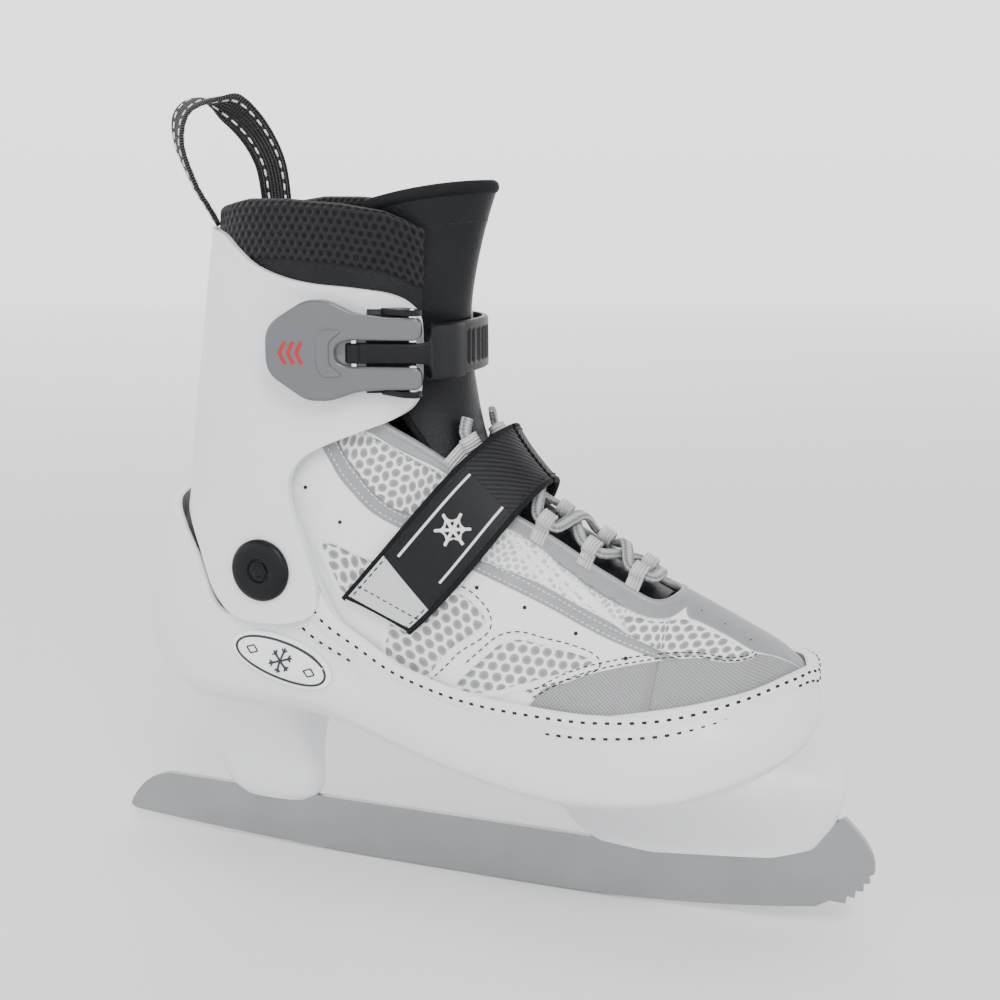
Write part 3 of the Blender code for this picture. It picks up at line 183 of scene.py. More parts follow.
def shell_rings(count_half, offset=0.0, levels=(0, 1, 2, 3, 4)):
    """Rings of the shell wall from its bottom edge (0) to its rim (4)."""
    rims = [list(row) for row in RIM_HEEL]
    for s, phi in RIM_LAST:
        outer, inner = last_surface(s, -phi, RIM_LIFT), last_surface(s, phi, RIM_LIFT)
        rims.append([outer[0], outer[1], inner[1], outer[2]])
    table = np.hstack([SHELL_BODY, np.array(rims)])
    rows = catmull(table, np.linspace(0, len(table) - 1, count_half + 1))
    near = rows[:, [0, 1, 3, 4, 5, 6, 7, 8, 9, 11]]
    far = rows[1:-1][:, [0, 2, 3, 4, 5, 6, 7, 8, 10, 11]]
    columns = np.vstack([near, far[::-1]])
    xy = columns[:, :2]
    tangent = np.roll(xy, -1, axis=0) - np.roll(xy, 1, axis=0)
    normal = -unit(np.stack([-tangent[:, 1], tangent[:, 0]], axis=1))
    if np.dot(normal[0], xy[0]) < 0:
        normal = -normal
    x, y, z_girth, z_low, in_low, z_high, in_high, rim_x, rim_y, rim_z = columns.T

    def spot(inset, z, slide=0.0):
        return np.stack([x - normal[:, 0] * inset + slide, y - normal[:, 1] * inset, z], axis=1)
    rim = np.stack([rim_x - normal[:, 0] * offset, rim_y - normal[:, 1] * offset, rim_z], axis=1)
    stations = np.stack([
        spot(in_low + offset * 0.3, z_low), spot(in_low * 0.28 + offset, lerp(z_low, z_girth, 0.35)),
        spot(offset, z_girth), spot(in_high + offset, z_high, 0.35 * (rim_x - x)), rim])
    return np.stack([catmull(stations.reshape(5, -1), level).reshape(-1, 3) for level in levels])


def cuff_surface(psi, z, inset=0.0):
    """Outer face of the cuff at height z; psi is 0 at the front, pi at the back."""
    psi, z, inset = np.broadcast_arrays(np.asarray(psi, float), np.asarray(z, float),
                                        np.asarray(inset, float))
    levels = [100, 127, 150, 175, 190, 209, 230, 250, 270]
    rear = np.interp(z, levels, [53, 53, 51.5, 48, 45.7, 42.5, 39.5, 37, 36]) - inset
    front = np.interp(z, levels, [60, 60, 59, 61, 63, 63, 63, 63, 64]) - inset
    half = np.interp(z, levels, [43.3, 43.3, 43, 42, 41.5, 41, 39.5, 37.5, 36]) - inset
    rear_n = np.interp(z, levels, [2.7, 2.6, 2.15, 2.2, 2.3, 2.3, 2.3, 2.3, 2.3])
    c, s = np.cos(psi), np.sin(psi)
    n = np.where(c < 0, rear_n, np.interp(z, [127, 175], [4.2, 2.5]))
    reach = np.where(c < 0, rear, front)
    return np.stack([-62 + reach * signed_power(c, 2 / n), half * signed_power(s, 2 / n), z], axis=-1)


# ------------------------------------------------------------------ meshes
def new_object(name, verts, faces, material, smooth_angle=40.0, fields=None, uv=None):
    """Mesh object from points in mm; fields are point attributes and uv is per point, in mm."""
    data = bpy.data.meshes.new(name)
    data.from_pydata((np.asarray(verts) * MM).tolist(), [], faces)
    for key, values in (fields or {}).items():
        data.attributes.new(key, "FLOAT", "POINT").data.foreach_set("value", np.asarray(values, np.float32))
    if uv is not None:
        layer = data.uv_layers.new(name="UVMap")
        corner = np.zeros(len(data.loops), np.int32)
        data.loops.foreach_get("vertex_index", corner)
        layer.data.foreach_set("uv", np.asarray(uv, np.float32)[corner].ravel())
    made = bmesh.new()
    made.from_mesh(data)
    bmesh.ops.recalc_face_normals(made, faces=made.faces)
    made.to_mesh(data)
    made.free()
    data.shade_smooth()
    data.set_sharp_from_angle(angle=math.radians(smooth_angle))
    thing = bpy.data.objects.new(name, data)
    bpy.context.collection.objects.link(thing)
    data.materials.append(material)
    return thing


def strip_faces(n, m, closed_u=False, closed_v=False, start=0):
    """Quads of an n by m grid of vertices."""
    faces = []
    for i in range(n if closed_u else n - 1):
        for j in range(m if closed_v else m - 1):
            a, b = i * m + j, i * m + (j + 1) % m
            c, d = ((i + 1) % n) * m + (j + 1) % m, ((i + 1) % n) * m + j
            faces.append((start + a, start + b, start + c, start + d))
    return faces


def slab(name, outer, inner, material, fields=None, uv=None, **options):
    """Closed sheet between two grids of the same shape."""
    n, m = outer.shape[:2]
    size = n * m
    verts = np.concatenate([outer.reshape(-1, 3), inner.reshape(-1, 3)])
    faces = strip_faces(n, m) + [face[::-1] for face in strip_faces(n, m, start=size)]
    border = ([i * m for i in range(n)] + [(n - 1) * m + j for j in range(1, m)]
              + [i * m + m - 1 for i in range(n - 2, -1, -1)] + list(range(m - 2, 0, -1)))
    for a, b in zip(border, border[1:] + border[:1]):
        faces.append((a, b, b + size, a + size))
    both = {key: np.concatenate([np.ravel(v), np.ravel(v)]) for key, v in (fields or {}).items()}
    flat = None if uv is None else np.concatenate([uv.reshape(-1, 2)] * 2)
    return new_object(name, verts, faces, material, fields=both, uv=flat, **options)


def sweep(name, rings, material, closed=False, uv=None, **options):
    """Solid through a row of closed rings, capped at both ends unless it closes on itself."""
    rings = np.asarray(rings)
    n, m = rings.shape[:2]
    faces = strip_faces(n, m, closed_u=closed, closed_v=True)
    if not closed:
        faces += [tuple(range(m)), tuple((n - 1) * m + j for j in range(m))]
    flat = None if uv is None else uv.reshape(-1, 2)
    return new_object(name, rings.reshape(-1, 3), faces, material, uv=flat, **options)


def prism(name, outline, low, high, to_world, material, bevel=0.0, segments=3, **options):
    """Plate over an outline; to_world(a, b, depth) gives a point in mm."""
    size = len(outline)
    verts = [to_world(a, b, depth) for depth in (low, high) for a, b in outline]
    faces = [tuple(range(size)), tuple(range(size, 2 * size))]
    faces += [(j, (j + 1) % size, size + (j + 1) % size, size + j) for j in range(size)]
    thing = new_object(name, verts, faces, material, **options)
    if bevel:
        add_bevel(thing, bevel, segments)
    return thing


def add_bevel(thing, width, segments=3, angle=40.0):
    made = thing.modifiers.new("edges", "BEVEL")
    made.width = width * MM
    made.segments = segments
    made.limit_method = "ANGLE"
    made.angle_limit = math.radians(angle)
    made.harden_normals = True


def side_plate(a, b, depth):
    return (a, depth, b)


def tube(name, points, radius, material, sides=10, **options):
    """Round cord along a dense path; radius may vary along it."""
    points = np.asarray(points)
    tangent = unit(np.gradient(points, axis=0))
    up = np.zeros_like(points)
    reference = np.array([0.0, 0.0, 1.0]) if abs(tangent[0][2]) < 0.9 else np.array([1.0, 0.0, 0.0])
    for i, t in enumerate(tangent):
        reference = reference - t * np.dot(reference, t)
        reference = reference / np.linalg.norm(reference)
        up[i] = reference
    side = np.cross(tangent, up)
    turn = np.linspace(0, 2 * math.pi, sides, endpoint=False)
    size = np.broadcast_to(np.asarray(radius, float), len(points))[:, None, None]
    rings = points[:, None] + size * (np.cos(turn)[None, :, None] * side[:, None]
                                      + np.sin(turn)[None, :, None] * up[:, None])
    return sweep(name, rings, material, **options)


def stitches(name, path, pitch, length, radius, material):
    """A row of thread stitches along a dense path, as one mesh."""
    path = np.asarray(path)
    run = path_length(path)
    count = max(int(run[-1] / pitch), 1)
    verts, faces = [], []
    sides, profile = 6, [(-0.5, 0.25), (-0.38, 0.85), (0.38, 0.85), (0.5, 0.25)]
    for k in range(count):
        middle = (k + 0.5) * run[-1] / count
        ends = [np.array([np.interp(middle + sign * length / 2, run, path[:, c]) for c in range(3)])
                for sign in (-1, 1)]
        axis = unit(ends[1] - ends[0])
        side = unit(np.cross(axis, (0.3, 0.2, 0.93)))
        up = np.cross(axis, side)
        start = len(verts)
        for along, size in profile:
            centre = (ends[0] + ends[1]) / 2 + axis * along * length
            for j in range(sides):
                t = 2 * math.pi * j / sides
                verts.append(centre + radius * size * (math.cos(t) * side + math.sin(t) * up))
        faces += strip_faces(len(profile), sides, closed_v=True, start=start)
        faces.append(tuple(start + j for j in range(sides)))
        faces.append(tuple(start + (len(profile) - 1) * sides + j for j in range(sides)))
    return new_object(name, verts, faces, material, smooth_angle=180)


def turned(name, profile, centre, axis, material, sides=48, **options):
    """Turned solid; profile rows are distance along the axis and radius."""
    axis = unit(np.array(axis, float))
    side = unit(np.cross(axis, (0.0, 0.0, 1.0) if abs(axis[2]) < 0.9 else (1.0, 0.0, 0.0)))
    up = np.cross(axis, side)
    turn = np.linspace(0, 2 * math.pi, sides, endpoint=False)
    rings = [np.array(centre) + axis * depth + radius * (np.cos(turn)[:, None] * side
                                                         + np.sin(turn)[:, None] * up)
             for depth, radius in profile]
    return sweep(name, rings, material, **options)


def finish_piece(thing, body, slot, *nodes):
    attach(thing, body)
    if nodes:
        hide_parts(*nodes)
    return thing


# ------------------------------------------------------------------ materials
class Shader:
    """Small helper that builds a Principled material out of named steps."""

    def __init__(self, name, colour, roughness, metallic=0.0, **sockets):
        self.material = bpy.data.materials.new(name)
        self.material.use_nodes = True
        self.tree = self.material.node_tree
        self.surface = self.tree.nodes["Principled BSDF"]
        self.surface.inputs["Base Color"].default_value = (*colour, 1.0)
        self.surface.inputs["Roughness"].default_value = roughness
        self.surface.inputs["Metallic"].default_value = metallic
        for key, value in sockets.items():
            self.surface.inputs[key.replace("_", " ")].default_value = value

    def node(self, kind, inputs, output=0, **settings):
        made = self.tree.nodes.new(kind)
        for key, value in settings.items():
            setattr(made, key, value)
        for key, value in inputs.items():
            if isinstance(value, bpy.types.NodeSocket):
                self.tree.links.new(value, made.inputs[key])
            elif value is not None:
                made.inputs[key].default_value = value
        return made.outputs[output]

    def math(self, operation, a, b=None):
        return self.node("ShaderNodeMath", {0: a, 1: b}, operation=operation)

    def vector(self, operation, a, b=None, output=0):
        return self.node("ShaderNodeVectorMath", {0: a, 1: b}, output, operation=operation)

    def field(self, name):
        return self.node("ShaderNodeAttribute", {}, "Fac", attribute_name=name)

    def place(self):
        return self.node("ShaderNodeTexCoord", {}, "Object")

    def uv(self):
        return self.node("ShaderNodeTexCoord", {}, "UV")

    def noise(self, scale, detail=3.0, vector=None):
        return self.node("ShaderNodeTexNoise", {"Vector": vector or self.place(), "Scale": scale,
                                                "Detail": detail}, "Fac")

    def edge(self, value, level, soft):
        """0 below a level and 1 above it, over a soft width."""
        return self.node("ShaderNodeMapRange", {"Value": value, "From Min": level - soft,
                                                "From Max": level + soft}, "Result")

    def blend(self, share, a, b):
        made = self.tree.nodes.new("ShaderNodeMix")
        made.data_type = "RGBA"
        for index, value in ((0, share), (6, a), (7, b)):
            if isinstance(value, bpy.types.NodeSocket):
                self.tree.links.new(value, made.inputs[index])
            else:
                made.inputs[index].default_value = value if index == 0 else (*value, 1.0)
        return made.outputs[2]

    def hexagons(self, uv, pitch):
        """Distance in mm from the nearest centre of a hexagonal lattice."""
        size = (pitch, pitch * math.sqrt(3), 1.0)
        found = []
        for shift in (0.0, 0.5):
            cell = self.vector("DIVIDE", uv, size)
            cell = self.vector("ADD", cell, (shift, shift, 0.0))
            cell = self.vector("FRACTION", cell)
            cell = self.vector("SUBTRACT", cell, (0.5, 0.5, 0.0))
            cell = self.vector("MULTIPLY", cell, (size[0], size[1], 0.0))
            found.append(self.vector("LENGTH", cell, output="Value"))
        return self.math("MINIMUM", *found)

    def link(self, name, socket):
        self.tree.links.new(socket, self.surface.inputs[name])

    def bump(self, height, distance, strength=1.0, normal=None):
        """Adds relief; distance is in mm."""
        made = self.node("ShaderNodeBump", {"Height": height, "Distance": distance * MM,
                                            "Strength": strength, "Normal": normal}, "Normal")
        self.link("Normal", made)
        return made


def plastic(name, colour, roughness, relief=0.04, vary=0.08, **sockets):
    made = Shader(name, colour, roughness, **sockets)
    made.bump(made.noise(900.0), relief)
    made.link("Roughness", made.node("ShaderNodeMapRange", {
        "Value": made.noise(45.0), "To Min": roughness - vary, "To Max": roughness + vary}, "Result"))
    return made.material


def woven(name, dark, light, pitch=(0.9, 0.9), relief=0.25, roughness=0.85):
    """Webbing: two crossed sets of threads in the piece's own mm coordinates, painted dark in the hollows and
    light on the crests as painted shade.
    """
    made = Shader(name, dark, roughness, Sheen_Weight=0.2)
    uv = made.vector("MULTIPLY", made.uv(), (2 * math.pi / pitch[0], 2 * math.pi / pitch[1], 0.0))
    u = made.node("ShaderNodeSeparateXYZ", {0: uv}, 0)
    v = made.node("ShaderNodeSeparateXYZ", {0: uv}, 1)
    weave = made.math("ADD", made.math("SINE", u), made.math("SINE", v))
    # painted shade: hollows of the weave take the dark colour and crests the light one
    share = made.edge(weave, 0.2, 1.2)
    made.link("Base Color", made.blend(share, dark, light))
    made.bump(weave, relief)
    return made.material


def steel_material():
    made = Shader("ground_steel", (0.30, 0.31, 0.32), 0.33, 0.85)
    stretched = made.vector("MULTIPLY", made.place(), (60.0, 60.0, 2600.0))
    grain = made.noise(1.0, 4.0, stretched)
    made.link("Roughness", made.node("ShaderNodeMapRange", {"Value": grain, "To Min": 0.30,
                                                            "To Max": 0.50}, "Result"))
    made.link("Base Color", made.blend(made.noise(35.0), (0.26, 0.268, 0.28), (0.34, 0.35, 0.362)))
    made.bump(grain, 0.03)
    return made.material


def upper_material():
    """Panels of the upper: fields give signed distances in mm to each panel's edge."""
    made = Shader("upper", (0.80, 0.81, 0.825), 0.55, Sheen_Weight=0.1)
    uv = made.uv()
    white = made.blend(made.noise(260.0), (0.78, 0.79, 0.805), (0.83, 0.84, 0.855))
    silver = made.blend(made.noise(320.0), (0.23, 0.235, 0.25), (0.29, 0.295, 0.31))
    hexes = made.hexagons(uv, 4.3)
    hole = made.math("SUBTRACT", 1.0, made.edge(hexes, 1.5, 0.22))
    # painted shade: each net hole is grey, darkest at its middle, for shade down the hole
    floor = made.blend(made.edge(hexes, 0.7, 0.7), (0.17, 0.175, 0.18), (0.30, 0.305, 0.31))
    net = made.blend(hole, (0.82, 0.83, 0.845), floor)
    fine = made.hexagons(uv, 3.0)
    fine_hole = made.math("SUBTRACT", 1.0, made.edge(fine, 0.95, 0.25))
    # painted shade: the holes of the fine net are grey for shade inside them
    fine_net = made.blend(fine_hole, (0.86, 0.87, 0.88), (0.45, 0.46, 0.475))
    weave_uv = made.vector("MULTIPLY", uv, (4.4, 4.4, 0.0))
    weave = made.math("MULTIPLY", made.math("SINE", made.node("ShaderNodeSeparateXYZ", {0: weave_uv}, 0)),
                      made.math("SINE", made.node("ShaderNodeSeparateXYZ", {0: weave_uv}, 1)))
    # painted shade: raised threads of the toe-cap cloth are lighter and the hollows darker
    cloth = made.blend(made.edge(weave, 0.0, 0.6), (0.20, 0.205, 0.21), (0.36, 0.365, 0.375))
    masks = {key: made.edge(made.field(key), 0.0, 0.12) for key in ("net", "panel", "cap", "silver", "bars")}
    colour = made.blend(masks["net"], white, net)
    colour = made.blend(masks["panel"], colour, fine_net)
    colour = made.blend(masks["bars"], colour, (0.86, 0.87, 0.88))
    colour = made.blend(masks["cap"], colour, cloth)
    colour = made.blend(masks["silver"], colour, silver)
    made.link("Base Color", colour)
    made.link("Metallic", made.math("MULTIPLY", masks["silver"], 0.25))
    height = made.math("MULTIPLY", made.math("MULTIPLY", hole, -1.0), masks["net"])
    height = made.math("ADD", height, made.math("MULTIPLY", made.math("MULTIPLY", fine_hole, -0.6),
                                                masks["panel"]))
    height = made.math("ADD", height, made.math("MULTIPLY", made.math("MULTIPLY", weave, 0.3), masks["cap"]))
    height = made.math("ADD", height, made.math("MULTIPLY", made.noise(1100.0), 0.12))
    made.bump(height, 0.55)
    return made.material


def mesh_cloth():
    """Black spacer mesh of the collar: staggered holes painted darker than the ribs, as painted shade."""
    made = Shader("spacer_mesh", (0.006, 0.006, 0.008), 0.8, Sheen_Weight=0.08)
    cells = made.hexagons(made.uv(), 3.2)
    rib = made.edge(cells, 1.0, 0.35)
    # painted shade: the holes are darker than the ribs round them
    made.link("Base Color", made.blend(rib, (0.001, 0.001, 0.0015), (0.013, 0.013, 0.016)))
    made.bump(made.math("ADD", rib, made.math("MULTIPLY", made.noise(1400.0), 0.3)), 0.7)
    return made.material


def strap_material():
    """Rubber-faced strap: fields hold the light line work and the pale end patch."""
    made = Shader("strap_face", (0.012, 0.013, 0.018), 0.5)
    patch = made.edge(made.field("patch"), 0.0, 0.1)
    lines = made.edge(made.field("lines"), 0.0, 0.08)
    twill = made.edge(made.field("twill"), 0.0, 0.15)
    uv = made.uv()
    slant = made.vector("DOT_PRODUCT", uv, (2.6, 2.6, 0.0), output="Value")
    rib = made.math("SINE", slant)
    colour = made.blend(made.noise(300.0), (0.003, 0.0035, 0.005), (0.006, 0.0065, 0.009))
    # painted shade: in the twill the crests of the ribs are lighter and the hollows darker
    colour = made.blend(made.math("MULTIPLY", twill, made.edge(rib, 0.0, 0.5)), colour, (0.018, 0.018, 0.022))
    colour = made.blend(patch, colour, (0.52, 0.53, 0.54))
    colour = made.blend(lines, colour, (0.70, 0.71, 0.72))
    made.link("Base Color", colour)
    height = made.math("ADD", made.math("MULTIPLY", made.noise(900.0), 0.2),
                       made.math("MULTIPLY", made.math("MULTIPLY", twill, rib), 0.5))
    made.bump(made.math("ADD", height, made.math("MULTIPLY", lines, 0.4)), 0.25)
    return made.material


def cord_material():
    made = Shader("lace_weave", (0.45, 0.46, 0.465), 0.75, Sheen_Weight=0.3)
    uv = made.uv()
    across = made.node("ShaderNodeSeparateXYZ", {0: uv}, 1)
    along = made.node("ShaderNodeSeparateXYZ", {0: uv}, 0)
    rib = made.math("SINE", made.math("MULTIPLY", across, 2 * math.pi * 5))
    twist = made.math("SINE", made.math("MULTIPLY", along, 5.2))
    height = made.math("ADD", rib, made.math("MULTIPLY", twist, 0.35))
    # painted shade: the lace is dark in the grooves between its ribs and light on their crests
    made.link("Base Color", made.blend(made.edge(height, 0.0, 1.2), (0.12, 0.122, 0.126), (0.42, 0.43, 0.44)))
    made.bump(height, 0.25)
    return made.material


WHITE = plastic("white_plastic", (0.74, 0.75, 0.77), 0.36, relief=0.02, Coat_Weight=0.12)
STEEL = steel_material()
UPPER = upper_material()
MESH = mesh_cloth()
STRAP = strap_material()
CORD = cord_material()
RAND = plastic("rand_leather", (0.80, 0.81, 0.825), 0.48, relief=0.12)
THREAD_DARK = plastic("dark_thread", (0.02, 0.02, 0.022), 0.8, relief=0.1)
THREAD_GREY = plastic("grey_thread", (0.50, 0.51, 0.52), 0.8, relief=0.1)
THREAD_WHITE = plastic("white_thread", (0.72, 0.73, 0.74), 0.8, relief=0.1)
LEATHERETTE = plastic("black_leatherette", (0.0035, 0.004, 0.006), 0.42, relief=0.22)
BINDING = plastic("black_binding", (0.003, 0.0035, 0.005), 0.75, relief=0.3)
LINING = plastic("dark_lining", (0.008, 0.008, 0.009), 0.9, relief=0.3)
BLACK = plastic("black_nylon", (0.003, 0.0035, 0.005), 0.36, relief=0.05)
GREY = plastic("grey_lacquer", (0.085, 0.09, 0.10), 0.22, relief=0.015, vary=0.04, Coat_Weight=0.6)
CHROME = plastic("bright_metal", (0.70, 0.71, 0.73), 0.14, relief=0.01, vary=0.03, Metallic=1.0)
RED = plastic("red_print", (0.36, 0.004, 0.010), 0.5)
INK = plastic("dark_ink", (0.012, 0.016, 0.022), 0.5)
BADGE = plastic("badge_plastic", (0.84, 0.85, 0.87), 0.3, relief=0.01)
# the first colour of each webbing is painted shade in the hollows of its weave
SILVER_WEB = woven("silver_webbing", (0.34, 0.345, 0.35), (0.66, 0.665, 0.67), (50.0, 1.25), 0.3)
BLACK_WEB = woven("black_webbing", (0.002, 0.002, 0.003), (0.010, 0.010, 0.013), (1.1, 1.4), 0.3)
SILVER_LEATHER = plastic("silver_leather", (0.27, 0.275, 0.29), 0.45, relief=0.12, Metallic=0.25)
FUZZ = plastic("fuzzy_pile", (0.004, 0.0045, 0.006), 0.95, relief=0.8, Sheen_Weight=0.1)
DARK_SPECULAR = 0.22           # dull enough for black cloth and nylon under bright light
for dark in (LEATHERETTE, BINDING, LINING, BLACK, BLACK_WEB, FUZZ, MESH, STRAP, THREAD_DARK):
    for node in dark.node_tree.nodes:
        if node.type == "BSDF_PRINCIPLED":
            node.inputs["Specular IOR Level"].default_value = DARK_SPECULAR


# ------------------------------------------------------------------ shell, towers and blade
def with_caps(rings):
    """Faces of a closed skin whose two ends are shut by strips from side to side."""
    n, m = rings.shape[:2]
    faces = strip_faces(n, m, closed_v=True)
    half = m // 2
    for start in (0, (n - 1) * m):
        faces.append((start, start + 1, start + m - 1))
        faces += [(start + j, start + j + 1, start + m - j - 1, start + m - j) for j in range(1, half - 1)]
        faces.append((start + half - 1, start + half, start + half + 1))
    return faces


def make_shell():
    """Moulded boot shell with its wall, a soft lip and a faint seam."""
    outer = shell_rings(120, 0.0, np.linspace(0, 4, 37))
    inner = shell_rings(120, SHELL_WALL, np.linspace(4, 0, 21))
    inner[:, :, 2] += np.linspace(0, 6, 21)[:, None]
    lip = (outer[-1] + inner[0]) / 2 + np.array([0, 0, 0.9])
    edge = [lerp(outer[-1], lip, 0.6) + np.array([0, 0, 0.25]), lip,
            lerp(inner[0], lip, 0.6) + np.array([0, 0, 0.25])]
    seam = np.exp(-((np.linspace(0, 4, 37) - 0.85) / 0.10) ** 2)[:, None, None]
    middle = np.array([0.0, 2.0, 90.0])
    outer = outer + seam * 0.5 * unit(middle - outer)
    rings = np.concatenate([outer, np.array(edge), inner])
    shell = new_object("shell_skin", rings.reshape(-1, 3), with_caps(rings), WHITE)
    finish_piece(shell, "boot", "white_shell", "shell_base")


HEEL_TOWER = np.array([
    (20.5, -99.4, -71.3, 4.6), (24.1, -104.7, -65.7, 6.6), (30.2, -108.6, -63.9, 8.8),
    (40.3, -111.6, -64.7, 12.0), (52.2, -113.8, -63.9, 17.5), (62.1, -115.7, -59.6, 23.5),
    (69.6, -118.0, -52.0, 28.0), (78.0, -119.0, -46.0, 31.0)])
FRONT_TOWER = np.array([
    (0.0, 47.0, 136.0, 4.6), (0.12, 40.0, 142.0, 7.0), (0.35, 34.0, 145.3, 14.0),
    (0.60, 30.5, 144.0, 23.0), (0.82, 28.5, 136.0, 31.0), (1.0, 27.5, 123.0, 35.0)])
FRONT_TOWER_FOOT = [(27, 38), (36, 31), (45, 26), (55, 23), (75, 22), (120, 26.5), (134, 31), (146, 41)]


def superellipse(x_rear, x_front, half, count, power=2.6):
    t = np.linspace(0, 2 * math.pi, count, endpoint=False)
    middle, reach = (x_rear + x_front) / 2, (x_front - x_rear) / 2
    return middle + reach * signed_power(np.cos(t), 2 / power), half * signed_power(np.sin(t), 2 / power)


def make_towers():
    """Heel and front towers between shell and blade."""
    rings = []
    for place in np.linspace(0, len(HEEL_TOWER) - 1, 34):
        z, rear, front, half = catmull(HEEL_TOWER, place)
        x, y = superellipse(rear, front, half, 96)
        rings.append(np.stack([x, y, np.full_like(x, z)], axis=1))
    rings = np.array(rings)
    heel = new_object("heel_tower_skin", rings.reshape(-1, 3), with_caps(rings), WHITE)
    finish_piece(heel, "boot", "white_shell", "heel_tower")
    sole = shell_rings(120, 0.0, [0.0])[0][:121]
    foot_x, foot_z = zip(*FRONT_TOWER_FOOT)
    rings = []
    for place in np.linspace(0, len(FRONT_TOWER) - 1, 30):
        share, rear, front, half = catmull(FRONT_TOWER, place)
        x, y = superellipse(rear, front, half, 120)
        top = np.interp(x, sole[:, 0], sole[:, 2]) + 4.0
        rings.append(np.stack([x, y, lerp(np.interp(x, foot_x, foot_z), top, share)], axis=1))
    rings = np.array(rings)
    tower = new_object("front_tower_skin", rings.reshape(-1, 3), with_caps(rings), WHITE)
    finish_piece(tower, "boot", "white_shell", "front_tower")


def make_blade():
    """Ground runner with toe picks and two tangs."""
    bottom = []
    for x in np.arange(-148, 137, 4.0):
        flat, toe = max(abs(x) - 8.0, 0.0), max(x - 40.0, 0.0)
        bottom.append((x, flat ** 2 / 4500 + toe ** 2 / 1700))
    picks = [(141.0, 12.2), (146.8, 12.0), (147.0, 15.0), (150.0, 14.6), (150.1, 17.6),
             (153.0, 17.6), (152.6, 20.6), (155.2, 21.0), (154.4, 23.6), (156.6, 24.8)]
    front = [tuple(p) for p in smooth_path([(156.6, 24.8), (156.2, 30.0), (153.6, 35.5), (149.8, 40.2),
                                            (145.4, 44.4)], 14)[1:]]
    tangs = [(131.0, 36.0), (50.0, 36.0), (50.0, 23.0), (-68.3, 23.0), (-68.3, 42.0), (-103.7, 42.0),
             (-103.7, 23.0)]
    rear = [tuple(p) for p in smooth_path([(-134.0, 23.0), (-138.0, 22.6), (-145.5, 19.6), (-151.5, 14.2),
                                           (-155.4, 8.2), (-155.4, 5.9), (-152.6, 4.75)], 20)]
    blade = prism("runner", bottom + picks + front + tangs + rear, -1.5, 1.5, side_plate, STEEL,
                  bevel=0.25, segments=2, smooth_angle=25)
    finish_piece(blade, "boot", "steel", "blade")


# ------------------------------------------------------------------ upper
THROAT = [(4.30, 0.0), (4.34, 0.22), (4.44, 0.40), (4.62, 0.50), (4.9, 0.505), (5.2, 0.49), (5.6, 0.488),
          (6.1, 0.468), (6.7, 0.470), (7.3, 0.525), (8.2, 0.60), (9.14, 0.662), (10.4, 0.787),
          (11.3, 0.90), (12.1, 0.99)]
TUCK = [(0.9, 0.25), (1.55, 0.93), (2.75, 1.37), (4.10, 1.67), (5.65, 1.96), (7.25, 2.14),
        (8.60, 2.06), (9.70, 1.79), (10.5, 1.76), (12.1, 1.76)]
ANKLE_NET = [(11.77, 1.19), (11.6, 1.07), (11.39, 1.01), (10.78, 0.915), (10.09, 0.845), (9.2, 0.76),
             (8.8, 0.80), (8.8, 1.0), (9.2, 1.09), (9.63, 1.13), (10.17, 1.135), (10.78, 1.13), (11.3, 1.16)]
FORE_NET = [(7.21, 1.92), (7.05, 1.763), (6.86, 1.617), (6.66, 1.48), (6.38, 1.40), (6.01, 1.37),
            (5.6, 1.33), (5.27, 1.32), (5.29, 1.37), (5.74, 1.54), (6.23, 1.71), (6.73, 1.875), (7.09, 1.94)]
MID_NET = [(7.96, 1.43), (7.8, 1.36), (7.55, 1.32), (7.19, 1.345), (7.05, 1.40), (7.12, 1.48),
           (7.42, 1.65), (7.57, 1.79), (7.78, 1.97), (8.4, 1.95), (8.5, 1.5)]
BACK_NET = [(10.18, 1.514), (9.95, 1.477), (9.59, 1.464), (9.29, 1.453), (8.9, 1.45), (8.9, 1.69),
            (9.24, 1.692), (9.44, 1.684), (9.73, 1.61), (10.0, 1.556)]
TOE_NET = [(4.93, 0.84), (4.74, 0.77), (4.5, 0.73), (4.28, 0.62), (4.1, 0.52), (3.92, 0.515), (3.44, 0.51),
           (2.98, 0.54), (2.69, 0.575), (2.77, 0.69), (3.15, 0.83), (3.74, 0.935), (4.21, 1.01),
           (4.49, 0.997), (4.77, 0.98)]
PANEL = [(8.1, 0.72), (7.43, 0.69), (6.7, 0.63), (5.8, 0.69), (5.36, 0.70), (4.95, 0.73), (4.93, 0.84),
         (4.77, 0.98), (5.11, 0.945), (5.7, 0.94), (6.4, 0.935), (7.1, 0.985), (7.71, 1.06), (8.2, 1.1)]
BAND_REAR = [(12.1, 1.31), (11.89, 1.294), (11.26, 1.237), (10.58, 1.215), (9.99, 1.217), (9.53, 1.208),
             (9.23, 1.194), (8.6, 1.17), (8.6, 1.05), (9.2, 1.085), (9.63, 1.125), (10.17, 1.13),
             (10.78, 1.125), (11.3, 1.155), (11.8, 1.19), (12.1, 1.21)]
BAND_FRONT = [(8.3, 1.12), (7.71, 1.064), (7.1, 0.99), (6.36, 0.938), (5.7, 0.942), (5.11, 0.945),
              (4.77, 0.985), (4.21, 1.02), (4.0, 1.03), (4.29, 1.10), (4.76, 1.10), (5.34, 1.093),
              (6.14, 1.08), (6.9, 1.09), (7.71, 1.138), (8.3, 1.19)]
EYESTAY = [(4.14, -0.3), (4.14, 0.0), (4.17, 0.354), (4.32, 0.595), (4.62, 0.72), (5.04, 0.73),
           (5.72, 0.712), (6.7, 0.63), (7.43, 0.685), (8.2, 0.70), (9.1, 0.72), (10.13, 0.836),
           (11.1, 0.947), (11.6, 1.044), (12.2, 1.12), (12.6, 0.5), (10.0, -0.3)]
